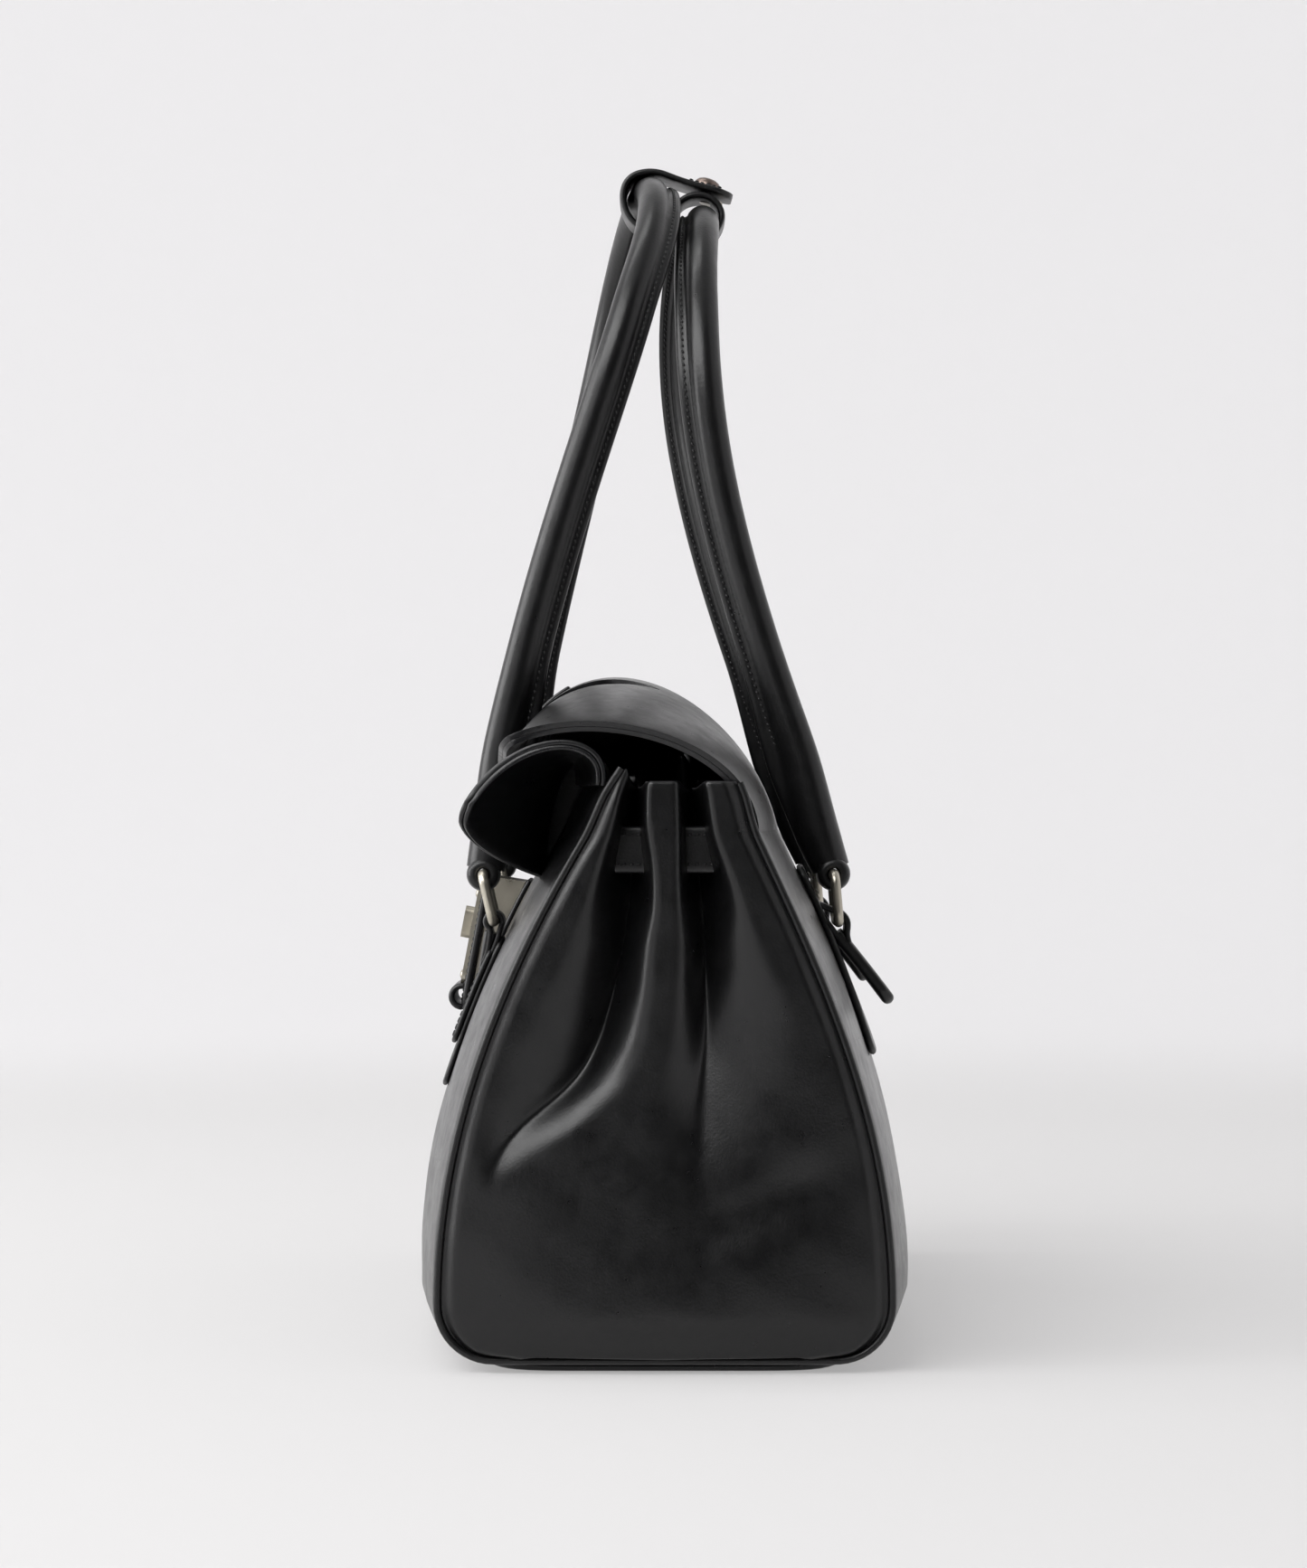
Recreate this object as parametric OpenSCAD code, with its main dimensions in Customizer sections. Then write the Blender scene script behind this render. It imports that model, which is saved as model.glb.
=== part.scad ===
// Belted flap handbag with two rolled handles, in millimetres, base on z = 0.
// x runs along the bag, the front with the lock faces -y, z is up.

/* [Body] */
// Length of the bag from end to end
body_len = 330; // [290:5:370]
// Depth of the bag at its base
base_depth = 154; // [140:2:170]
// Height of the front panel's top seam
panel_top = 196; // [186:2:206]
// How far the back panel's top seam lies below the front's
back_drop = 16; // [10:1:24]
// Half the depth of the mouth at the ends
mouth_half = 20.5; // [19:0.5:24]
// How far the mouth is shifted to the back
mouth_shift = 3.5; // [2:0.5:5]
// Radius of the rounded lower edges
corner_r = 20; // [14:1:24]
// How far the panels bulge at the middle of the length
panel_bulge = 10; // [4:1:12]
// Thickness of the leather of panels and flap
leather_t = 2.8; // [2:0.2:3.2]
// Thickness of the lining
lining_t = 1; // [0.6:0.1:1.4]
// Thickness of the base panel under the shell
base_t = 3; // [2:0.5:4]
// Thickness of the stiffening board
board_t = 2.4; // [1.5:0.1:2.6]
// Diameter of the piping on the gusset seams
piping_d = 3.6; // [2.8:0.2:4]

/* [Gusset] */
// Depth of the two folds at the top of each gusset
fold_depth = 26; // [16:1:30]
// Height at which the folds start
fold_start = 62; // [40:2:90]
// Thickness of a gusset along the length
gusset_t = 3.2; // [2.6:0.2:3.6]
// Distance of the gusset belt's middle line below the front seam
belt_drop = 22; // [18:1:28]
// Width of the gusset belt
belt_w = 16; // [12:1:20]
// Thickness of the gusset belt
belt_t = 3; // [2:0.2:4]

/* [Lapel] */
// How far the lapel hangs down below its seam
lapel_len = 32; // [24:1:38]
// How far the lapel's fold is drawn up above the seam
lapel_rise = 17; // [14:1:19]
// Distance of the flared corner from the middle plane
flare_y = 69; // [60:1:74]
// Distance of the flared corner below the front seam
flare_drop = 10; // [4:1:16]
// Length over which the hem flares at each end
flare_len = 62; // [50:2:70]

/* [Flap] */
// Line where the flap folds open, from the middle plane
flap_fold_y = 14; // [10:1:16]
// Front edge of the flap's end lobes, from the middle plane
lobe_y = 55; // [52:1:58]
// Height of the end lobes' front edge above the front seam
lobe_rise = 14.5; // [13:0.5:18]
// Front edge of the flap at the middle, from the middle plane
front_y = 59; // [57:1:62]
// How far the front edge at the middle lies below that of the end lobes
front_drop = 14.5; // [10.5:0.5:18.5]
// How far the flap's left end sags into the mouth
left_sag = 13.5; // [10:0.5:14]
// Width of the two slots for the front handle
slot_w = 25; // [22:1:28]
// Distance of the slots' pointed root in front of the middle plane
slot_root = 1; // [0:1:6]
// Length over which the slots widen from their root
slot_taper = 17; // [14:1:22]

/* [Tongue and lock] */
// Width of the tongue strap
tongue_w = 36; // [30:1:42]
// Length of the tongue strap
tongue_len = 84; // [78:1:86]
// Thickness of the tongue strap
tongue_t = 3; // [2.4:0.2:3.4]
// Space between the tongue's lower end and the patch behind it
tongue_gap = 0.5; // [0.4:0.1:1.2]
// Distance of the toggle above the tongue's lower end
lock_up = 32; // [30:1:36]
// Width of the lock body
lock_w = 30; // [26:1:32]
// Height of the lock body's front face
lock_h = 40; // [36:1:42]
// Thickness of the hasp plate
hasp_t = 1.6; // [1.2:0.2:2]
// Length of the toggle's bar
toggle_len = 12; // [10:0.5:13]
// Width of the toggle's bar
toggle_w = 5; // [4:0.5:5.5]
// Thickness of the toggle's bar
toggle_t = 3.4; // [2.6:0.2:3.8]
// Diameter of the toggle's shaft
shaft_d = 4; // [3:0.5:4.5]

/* [Handles] */
// Distance of the handle legs from the middle of the length
leg_x = 78; // [70:1:84]
// Diameter of the rolled handles
handle_d = 15.6; // [13:0.2:16.4]
// Thickness of the handles' leather
cover_t = 2.4; // [1.8:0.2:3]
// Height of the front handle's arch above the front seam, at its middle line
front_arch = 218; // [206:2:224]
// How much lower the back handle's arch is
arch_drop = 11; // [9:1:14]
// Distance of the front handle's top from the middle plane
front_reach = -4.6; // [-8:0.2:-4]
// Distance of the back handle's top from the middle plane
back_reach = 13.5; // [13:0.5:18]
// How far the front handle's right leg leans back
front_twist = 9; // [6:0.5:10]
// How far the back handle's right leg leans back
back_twist = 4.5; // [2:0.5:5]
// Length of the solid ends with the ring's bore
end_len = 14; // [12:1:18]
// Diameter of the solid ends at the rings
end_d = 13; // [11:0.5:14]

/* [Rings and chapes] */
// Diameter of the ring wire
wire_d = 3.6; // [3:0.1:4]
// Inner width of a ring
ring_w = 20; // [19:0.5:22]
// Distance between a ring's two bars
ring_pitch = 17; // [15.5:0.5:19]
// Radius of a ring's corners, middle of the wire
ring_corner = 3.4; // [3:0.1:3.6]
// How far below the front seam the chapes hold the rings
ring_drop = 51; // [48:1:56]
// Lean of the front rings, in degrees
front_ring_lean = 13; // [8:1:18]
// Lean of the back rings, in degrees
back_ring_lean = -5; // [-5:1:4]
// Width of a chape
chape_w = 15; // [12:0.5:15.5]
// Thickness of a chape
chape_t = 2.8; // [2.2:0.2:3.2]
// Length of a front chape's strap below its ring
chape_len = 41; // [33:1:49]
// Length of a back chape's strap below its ring
back_len = 45; // [40:1:50]
// Length of a back chape's strap above its ring
strap_up = 22; // [20:1:24]
// Length of the free tails on the back chapes
tail_len = 34; // [28:1:40]

/* [Keeper] */
// Width of the keeper straps
keeper_w = 24; // [18:1:26]
// Thickness of the keeper straps
keeper_t = 2.6; // [2:0.1:2.8]
// Slack of the keeper loops around the handles
keeper_slack = 1.6; // [1.5:0.1:2]
// Slope of the keeper tab, in degrees
keeper_slope = 18; // [14:1:22]
// Length of the keeper tab with its root
keeper_len = 28; // [27:0.5:32]
// Diameter of the snap cap
cap_d = 10.8; // [9:0.2:12]

/* [Hidden] */
fit = 0.3;
run = 0.05;
shell_z = base_t;
corner_z = shell_z + corner_r;
base_half = base_depth / 2;
flat_half = base_half - corner_r;
shell_half = body_len / 2 - gusset_t - 0.2;
side_rise = panel_top - corner_z;
back_top = panel_top - back_drop;
belt_z = panel_top - belt_drop;
lapel_hem = panel_top - lapel_len;
flare_z = panel_top - flare_drop;
lobe_z = panel_top + lobe_rise;
front_z = lobe_z - front_drop;
lock_drop = tongue_len - lock_up;
front_rise = panel_top + front_arch;
back_rise = front_rise - arch_drop;
ring_z = panel_top - ring_drop;
chape_foot = ring_z - chape_len;
handle_r = handle_d / 2;
wire_r = wire_d / 2;
piping_r = piping_d / 2;
ring_half = (ring_w + wire_d) / 2;
loop_r = wire_r + run + chape_t;
panel_rows = 10;
panel_cols = 14;

// Distance of a panel's outer face from the middle plane at the ends; s is -1 at the front, 1 at the back.
function drop(u) = u * u * (1.15 - 0.15 * u * u);
function drop_rate(u) = 2.3 * u - 0.6 * u * u * u;
function up(z) = max(0, (z - corner_z) / side_rise);
function half_at(s, z) =
    base_half - (base_half - mouth_half) * drop(up(z)) + s * mouth_shift * pow(up(z), 5);
function slope_at(s, z) =
    (5 * s * mouth_shift * pow(up(z), 4) - (base_half - mouth_half) * drop_rate(up(z))) / side_rise;
function out_y(s, z) = 1 / sqrt(1 + pow(slope_at(s, z), 2));
function out_z(s, z) = -slope_at(s, z) * out_y(s, z);
function swell(x) = panel_bulge * max(0, 1 - pow(abs(x) / shell_half, 3));

// A point on a panel's face, moved outwards by off, at the length x.
function skin(s, z, off, x) = [
    s * (half_at(s, z) + swell(x) + off * out_y(s, z)),
    z + off * out_z(s, z)
];

// A point on the rounded lower edge, a from -90 at the base to 0 at the side.
function edge_pt(s, a, off, x) = [
    s * (flat_half + (corner_r + off) * cos(a) + swell(x) * (90 + a) / 90),
    corner_z + (corner_r + off) * sin(a)
];

function bez(p, q, r, s, t) =
    p * pow(1 - t, 3) + q * 3 * t * pow(1 - t, 2) + r * 3 * t * t * (1 - t) + s * t * t * t;
function mix(a, b, t) = a * (1 - t) + b * t;
function smooth(t) = let (c = min(1, max(0, t))) c * c * (3 - 2 * c);
function unit(v) = v / norm(v);
function col_x(j, n) = -shell_half + 2 * shell_half * j / n;

// A closed sheet between two grids of points with the same rows and columns.
module sheet(top, under) {
    m = len(top);
    n = len(top[0]);
    pts = concat([for (row = top) each row], [for (row = under) each row]);
    k = m * n;
    skin_a = [for (i = [0:m - 2]) for (j = [0:n - 2]) each [
        [i * n + j, i * n + j + 1, (i + 1) * n + j],
        [i * n + j + 1, (i + 1) * n + j + 1, (i + 1) * n + j]
    ]];
    skin_b = [for (f = skin_a) [f[2] + k, f[1] + k, f[0] + k]];
    rim = concat(
        [for (j = [0:n - 2]) [j, j + 1]],
        [for (i = [0:m - 2]) [i * n + n - 1, (i + 1) * n + n - 1]],
        [for (j = [n - 1:-1:1]) [(m - 1) * n + j, (m - 1) * n + j - 1]],
        [for (i = [m - 1:-1:1]) [i * n, (i - 1) * n]]
    );
    wall = [for (e = rim) each [[e[1], e[0], e[0] + k], [e[1], e[0] + k, e[1] + k]]];
    polyhedron(pts, concat(skin_a, skin_b, wall));
}

// A round bar with flat ends along a list of points.
function ring_pts(path, i, r, sides, side_dir) =
    let (
        a = path[max(0, i - 1)],
        b = path[min(len(path) - 1, i + 1)],
        t = unit(b - a),
        n = unit(cross(t, side_dir)),
        w = cross(n, t)
    )
    [for (q = [0:sides - 1]) path[i] + r * (cos(360 * q / sides) * n + sin(360 * q / sides) * w)];
function tube_walls(n, sides, k, flip) = [
    for (i = [0:n - 2]) for (q = [0:sides - 1])
        let (
            a = k + i * sides + q,
            b = k + i * sides + (q + 1) % sides,
            c = a + sides,
            d = b + sides
        )
        each flip ? [[c, b, a], [c, d, b]] : [[a, b, c], [b, d, c]]
];

module rod(path, r, sides, side_dir) {
    n = len(path);
    pts = [for (i = [0:n - 1]) each ring_pts(path, i, r, sides, side_dir)];
    cap_a = [for (q = [1:sides - 2]) [0, q + 1, q]];
    cap_b = [for (q = [1:sides - 2]) [(n - 1) * sides, (n - 1) * sides + q, (n - 1) * sides + q + 1]];
    polyhedron(pts, concat(tube_walls(n, sides, 0, false), cap_a, cap_b));
}

module pipe(path, r, inner_r, sides, side_dir) {
    n = len(path);
    k = n * sides;
    pts = concat(
        [for (i = [0:n - 1]) each ring_pts(path, i, r, sides, side_dir)],
        [for (i = [0:n - 1]) each ring_pts(path, i, inner_r, sides, side_dir)]
    );
    e = (n - 1) * sides;
    cap_a = [for (q = [0:sides - 1]) let (p = (q + 1) % sides) each [[p, q, k + q], [p, k + q, k + p]]];
    cap_b = [for (q = [0:sides - 1]) let (p = (q + 1) % sides)
        each [[e + q, e + p, k + e + q], [e + p, k + e + p, k + e + q]]];
    polyhedron(pts, concat(tube_walls(n, sides, 0, false), tube_walls(n, sides, k, true), cap_a, cap_b));
}

// Draws a profile given in y and z and gives it the width w along x.
module across(x, w) {
    translate([x - w / 2, 0, 0])
        rotate([90, 0, 90])
            linear_extrude(w)
                children();
}

module bar_x(x, y, z, r, w) {
    translate([x - w / 2, y, z])
        rotate([0, 90, 0])
            cylinder(r = r, h = w);
}

module plate(l, w, r, t) {
    linear_extrude(t) {
        square([l - 2 * r, w], center = true);
        square([l, w - 2 * r], center = true);
        for (sx = [-1, 1], sy = [-1, 1])
            translate([sx * (l / 2 - r), sy * (w / 2 - r)])
                circle(r);
    }
}

module dome(d, h) {
    r = (d * d / 4 + h * h) / (2 * h);
    intersection() {
        translate([0, 0, h - r])
            sphere(r);
        translate([0, 0, h])
            cube([2 * d, 2 * d, 2 * h], center = true);
    }
}

// Rows of a panel from the base's edge up to its top seam.
function panel_grid(s, top, off) = concat(
    [for (a = [-90:18:-18]) [for (j = [0:panel_cols])
        let (x = col_x(j, panel_cols), p = edge_pt(s, a, off, x)) [x, p[0], p[1]]]],
    [for (i = [0:panel_rows]) [for (j = [0:panel_cols])
        let (
            x = col_x(j, panel_cols),
            z = corner_z + (top - corner_z) * i / panel_rows,
            p = skin(s, z, off, x)
        ) [x, p[0], p[1]]]]
);

module base_panel() {
    color("#161616")
        plate(2 * shell_half - 8, 2 * flat_half + 12, 12, base_t);
}

module base_board() {
    color("#6b5a45")
        translate([0, 0, shell_z])
            plate(2 * shell_half - 6, 2 * flat_half - 1, 4, board_t);
}

module front_panel() {
    color("#1b1b1b")
        sheet(panel_grid(-1, panel_top, 0), panel_grid(-1, panel_top, -leather_t));
}

module back_panel() {
    color("#1b1b1b")
        sheet(panel_grid(1, back_top, -leather_t), panel_grid(1, back_top, 0));
}

// Gusset: a sheet inside the piping with two folds that deepen towards the top.
gusset_in = piping_d + 0.2;
gusset_rows = 12;
gusset_cols = 20;
gusset_foot = shell_z + gusset_in;
function fold(u, z) =
    fold_depth * smooth((z - fold_start) / (panel_top - fold_start))
    * (abs(u) < 0.9 ? (1 - cos(360 * abs(u) / 0.9)) / 2 : 0);
function inner_half(s, z, off) =
    z < corner_z
        ? flat_half + sqrt(max(0, pow(corner_r - off, 2) - pow(corner_z - z, 2)))
        : half_at(s, z) - off / out_y(s, z);
function gusset_z(i) = i < 4
    ? gusset_foot + (corner_z - gusset_foot) * (1 - cos(22.5 * i))
    : corner_z + (panel_top - corner_z) * (i - 4) / (gusset_rows - 4);
function gusset_grid(e, back, in, foot_rows, top_row) = [
    for (i = [foot_rows:top_row]) [for (j = [0:gusset_cols])
        let (
            u = -1 + 2 * j / gusset_cols,
            z = gusset_z(i),
            s = u < 0 ? -1 : 1,
            y = u * inner_half(s, z, in)
        )
        [e * (shell_half + gusset_t - back - fold(y / inner_half(s, z, gusset_in), z)), y, z]]
];

belt_x = shell_half - 10;

module gusset(e) {
    difference() {
        if (e > 0)
            sheet(gusset_grid(e, gusset_t, gusset_in, 0, gusset_rows), gusset_grid(e, 0, gusset_in, 0, gusset_rows));
        else
            sheet(gusset_grid(e, 0, gusset_in, 0, gusset_rows), gusset_grid(e, gusset_t, gusset_in, 0, gusset_rows));
        translate([e * belt_x, 0, belt_z])
            cube([belt_t + 0.8, base_depth, belt_w + 0.8], center = true);
    }
}

module right_gusset() {
    color("#1e1e1e")
        gusset(1);
}

module left_gusset() {
    color("#1e1e1e")
        gusset(-1);
}

// Piping: round bar along the seam, down the front, under the bag and up the back.
function seam_side(s, top, dir) = [for (i = [0:9])
    let (z = dir > 0 ? mix(corner_z, top, i / 9) : mix(top, corner_z, i / 9))
    skin(s, z, -piping_r, 2 * shell_half)];
function seam_path(x) = [for (p = concat(
        seam_side(-1, panel_top, -1),
        [for (a = [-15:-15:-90]) edge_pt(-1, a, -piping_r, 2 * shell_half)],
        [for (a = [-90:15:-15]) edge_pt(1, a, -piping_r, 2 * shell_half)],
        seam_side(1, panel_top, 1)
    )) [x, p[0], p[1]]];

module right_piping() {
    color("#0f0f0f")
        rod(seam_path(shell_half + piping_r + 0.05), piping_r - 0.05, 8, [1, 0, 0]);
}

module left_piping() {
    color("#0f0f0f")
        rod(seam_path(-shell_half - piping_r - 0.05), piping_r - 0.05, 8, [1, 0, 0]);
}

// Belt: one strap through the slots of both folds, from panel to panel.
module belt(e) {
    reach_f = half_at(-1, belt_z + belt_w / 2) - leather_t - 2.5;
    reach_b = half_at(1, belt_z + belt_w / 2) - leather_t - 2.5;
    translate([e * belt_x - belt_t / 2, -reach_f, belt_z - belt_w / 2])
        cube([belt_t, reach_f + reach_b, belt_w]);
}

module right_belt() {
    color("#151515")
        belt(1);
}

module left_belt() {
    color("#151515")
        belt(-1);
}

// Lining: a trough inside the panels and a folded sheet inside each gusset, up to under the belt.
lining_in = leather_t + fit;
lining_top = belt_z - belt_w / 2 - 3;
lining_cols = 8;
end_gap = gusset_t + 0.5;
function lining_x(s, z, j) =
    (-1 + 2 * j / lining_cols) * (shell_half - 3 - lining_t
        - fold((inner_half(s, z, lining_in)) / inner_half(s, z, gusset_in), z));
function lining_side(s, off, dir) = [for (i = [0:8])
    let (z = mix(corner_z, lining_top, (dir > 0 ? i : 8 - i) / 8))
    [for (j = [0:lining_cols]) let (x = lining_x(s, z, j), p = skin(s, z, -off, x)) [x, p[0], p[1]]]];
function lining_edge(s, off, angles) = [for (a = angles)
    [for (j = [0:lining_cols]) let (x = lining_x(s, corner_z, j), p = edge_pt(s, a, -off, x)) [x, p[0], p[1]]]];
function lining_grid(off) = concat(
    lining_side(-1, off, -1),
    lining_edge(-1, off, [-22.5, -45, -67.5, -90]),
    lining_edge(1, off, [-90, -67.5, -45, -22.5]),
    lining_side(1, off, 1)
);

module lining_body() {
    color("#3a3531")
        sheet(lining_grid(lining_in + lining_t), lining_grid(lining_in));
}

end_in = lining_in + lining_t + 1.2;
function end_z(i) = gusset_foot + 3 + (lining_top - gusset_foot - 3) * i / 10;
function end_grid(e, back) = [for (i = [0:10]) [for (j = [0:gusset_cols])
    let (
        u = -1 + 2 * j / gusset_cols,
        z = end_z(i),
        s = u < 0 ? -1 : 1,
        y = u * inner_half(s, z, end_in)
    )
    [e * (shell_half - 0.5 - back - fold(y / inner_half(s, z, gusset_in), z)), y, z]]];

module lining_ends() {
    color("#3a3531") {
        sheet(end_grid(1, lining_t), end_grid(1, 0));
        sheet(end_grid(-1, 0), end_grid(-1, lining_t));
    }
}

// Lapel: goes on from the front panel's top seam, folds forward and hangs over the front.
lapel_rows = 10;
lapel_cols = 24;
function flare(x) = smooth((abs(x) - shell_half + flare_len) / flare_len);
function lapel_pt(x, t) =
    let (
        a = skin(-1, panel_top, 0, x),
        hug = skin(-1, lapel_hem, 1.2, x),
        hem = mix(hug, [-flare_y, flare_z], flare(x)),
        lift = [a[0] + 1, panel_top + lapel_rise - 1],
        top = panel_top + lapel_rise,
        over = mix([a[0] - 0.47 * lapel_len, top], [a[0] - 0.75 * lapel_len, top + 1], flare(x))
    )
    bez(a, lift, over, hem, t);
function lapel_out(x, t) =
    let (d = unit(lapel_pt(x, min(1, t + 0.01)) - lapel_pt(x, max(0, t - 0.01))))
    t == 0 ? [out_y(-1, panel_top), -out_z(-1, panel_top)] : [d[1], -d[0]];
function lapel_grid(off) = [for (i = [0:lapel_rows]) [for (j = [0:lapel_cols])
    let (
        x = col_x(j, lapel_cols),
        t = i / lapel_rows,
        p = lapel_pt(x, t) + off * lapel_out(x, t)
    ) [x, p[0], p[1] + (t == 0 ? 0.02 : 0)]]];

module front_lapel() {
    color("#1b1b1b")
        sheet(lapel_grid(0), lapel_grid(leather_t));
}

// Flap: goes on from the back panel's top seam over the mouth and down at the front.
flap_cols = 22;
function crown(x) = pow(max(0, 1 - pow(abs(x) / shell_half, 2.4)), 0.9);
function left_end(x) = pow(max(0, (-x / shell_half - 0.4) / 0.6), 2);
function flap_pt(x, t) =
    let (
        a = skin(1, back_top, 0, x),
        q = mix([a[0] - 0.04 * front_y, back_top + 0.6 * front_y], [a[0] - 0.2 * front_y, back_top + 0.88 * front_y],
            crown(x)),
        r = mix([-0.58 * lobe_y, lobe_z + 0.26 * lobe_y], [-0.645 * front_y, front_z + 1.186 * front_y], crown(x)),
        e = mix([-lobe_y, lobe_z], [-front_y, front_z], crown(x))
    )
    bez(a, q, r, e, t) - [0, left_sag * left_end(x) * smooth((t - 0.2) / 0.3) * smooth((0.76 - t) / 0.28)];
function flap_dir(x, t) = unit(flap_pt(x, min(1, t + 0.01)) - flap_pt(x, max(0, t - 0.01)));
function flap_in(x, t) = t == 0
    ? [-out_y(1, back_top), -out_z(1, back_top)]
    : let (d = flap_dir(x, t)) [d[1] * -1, d[0]];
// The place along the flap where it crosses a line y, found by halving.
function fold_t(x, y, lo, hi, n) =
    let (m = (lo + hi) / 2)
    n == 0 ? m : flap_pt(x, m)[0] > y ? fold_t(x, y, m, hi, n - 1) : fold_t(x, y, lo, m, n - 1);
function flap_grid(rows, from_y, to_y, off) = [for (i = [0:rows]) [for (j = [0:flap_cols])
    let (
        x = col_x(j, flap_cols),
        ta = from_y == undef ? 0 : fold_t(x, from_y, 0, 1, 16),
        tb = to_y == undef ? 1 : fold_t(x, to_y, 0, 1, 16),
        t = mix(ta, tb, i / rows),
        p = flap_pt(x, t) + off * flap_in(x, t)
    ) [x, p[0], p[1] + (t == 0 ? 0.02 : 0)]]];

module flap_root() {
    color("#1b1b1b")
        sheet(flap_grid(5, undef, flap_fold_y + 0.25, leather_t), flap_grid(5, undef, flap_fold_y + 0.25, 0));
}

fold_z = flap_pt(0, fold_t(0, flap_fold_y, 0, 1, 20))[1] + 0.5;

// Plan of a slot: a narrow root that widens to the full width, open at the front.
module slot_plan() {
    tip = slot_w / 10;
    polygon([
        [-tip, -slot_root], [-slot_w / 2, -slot_root - slot_taper], [-slot_w / 2, -2 * front_y],
        [slot_w / 2, -2 * front_y], [slot_w / 2, -slot_root - slot_taper], [tip, -slot_root]
    ]);
}

module flap_front() {
    color("#1b1b1b")
        difference() {
            sheet(flap_grid(11, flap_fold_y - 0.25, undef, leather_t), flap_grid(11, flap_fold_y - 0.25, undef, 0));
            for (e = [-1, 1])
                translate([e * leg_x, 0, front_z - front_y])
                    linear_extrude(3 * front_y)
                        slot_plan();
        }
}

// Tongue: hangs from the flap's front edge, leaning with its own plane; y is up along it, z outwards.
patch_t = 2;
tongue_y = -front_y - 0.9;
tongue_z = front_z - 1.4;
tongue_foot = skin(-1, tongue_z - 0.98 * tongue_len, 0, 0)[0] - 0.2 - patch_t - tongue_gap - tongue_t;
tongue_lean = asin((tongue_y - tongue_foot) / tongue_len);
module at_tongue() {
    translate([0, tongue_y, tongue_z])
        rotate([90 - tongue_lean, 0, 0])
            children();
}
function tongue_pt(along, off) = [
    tongue_y + along * sin(tongue_lean) - off * cos(tongue_lean),
    tongue_z + along * cos(tongue_lean) + off * sin(tongue_lean)
];

slot_up = toggle_len / 2 + 0.8;
slot_down = toggle_len / 2 + 2 * shaft_d;
slot_wide = max(toggle_w, shaft_d) + 1;
hasp_w = 7 / 9 * tongue_w;
hasp_h = slot_up + slot_down + tongue_w / 2;
hasp_mid = -lock_drop + (slot_up - slot_down) / 2;
pull_r = 5;
pull_mid = min(pull_r - tongue_len, hasp_mid - hasp_h / 2 - pull_r - 0.4);
lock_face = -tongue_t - fit;
module lock_slot(deep) {
    translate([-slot_wide / 2, -lock_drop - slot_down, -deep])
        cube([slot_wide, slot_up + slot_down, 2 * deep]);
}

module tongue_strap() {
    color("#171717")
        at_tongue()
            difference() {
                translate([0, -tongue_len / 2, -tongue_t])
                    plate(tongue_w, tongue_len, 6, tongue_t);
                lock_slot(20);
                for (sx = [-1, 1], sy = [-1, 1])
                    translate([sx * (hasp_w / 2 - 4), hasp_mid + sy * (hasp_h / 2 - 4), -20])
                        cylinder(r = 1 + run, h = 40);
            }
}

module hasp_plate() {
    color("#b9b4a8")
        at_tongue()
            difference() {
                translate([0, hasp_mid, 0])
                    plate(hasp_w, hasp_h, 4, hasp_t);
                lock_slot(20);
                for (sx = [-1, 1], sy = [-1, 1])
                    translate([sx * (hasp_w / 2 - 4), hasp_mid + sy * (hasp_h / 2 - 4), -20])
                        cylinder(r = 1 + run, h = 40);
            }
}

module hasp_rivets() {
    color("#c9c4b8")
        at_tongue()
            for (sx = [-1, 1], sy = [-1, 1])
                translate([sx * (hasp_w / 2 - 4), hasp_mid + sy * (hasp_h / 2 - 4), 0]) {
                    translate([0, 0, -tongue_t + 0.1])
                        cylinder(r = 1, h = tongue_t + hasp_t);
                    translate([0, 0, hasp_t])
                        dome(4, 0.9);
                }
}

module tongue_pull() {
    color("#171717")
        at_tongue()
            difference() {
                translate([0, pull_mid, 0])
                    rotate([0, 90, 0])
                        translate([0, 0, -tongue_w / 2 + 2])
                            cylinder(r = pull_r, h = tongue_w - 4);
                translate([-tongue_w, pull_mid - 4 * pull_r, -4 * pull_r])
                    cube([2 * tongue_w, 8 * pull_r, 4 * pull_r]);
                translate([0, pull_mid, 0])
                    rotate([0, 90, 0])
                        translate([0, 0, -tongue_w])
                            cylinder(r = 0.52 * pull_r, h = 2 * tongue_w);
            }
}

patch_z = [chape_foot - 2, lapel_hem - 4];
module lock_patch() {
    zs = [for (i = [0:10]) mix(patch_z[0], patch_z[1], i / 10)];
    color("#141414")
        across(0, lock_w + 10)
            polygon(concat(
                [for (z = zs) skin(-1, z, 0.2, 0)],
                [for (i = [10:-1:0]) skin(-1, zs[i], 0.2 + patch_t, 0)]
            ));
}

lock_mid = -lock_drop - 1;
module lock_body() {
    top = tongue_pt(lock_mid + lock_h / 2, lock_face);
    foot = tongue_pt(lock_mid - lock_h / 2, lock_face);
    back_top_z = min(top[1] - 3, patch_z[1] - 1);
    back = [for (i = [0:6]) skin(-1, mix(foot[1] - 1, back_top_z, i / 6), 0.3 + patch_t, 0)];
    color("#a9a498")
        difference() {
            across(0, lock_w)
                polygon(concat([foot], back, [top]));
            at_tongue()
                translate([0, -lock_drop, lock_face - 4])
                    cylinder(r = shaft_d / 2 + run, h = 20);
        }
}

module lock_screws() {
    color("#c9c4b8")
        at_tongue()
            for (sx = [-1, 1])
                translate([sx * (lock_w / 2 - 4), lock_mid + lock_h / 2 - 5, lock_face])
                    cylinder(r = 2, h = 0.2);
}

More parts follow.
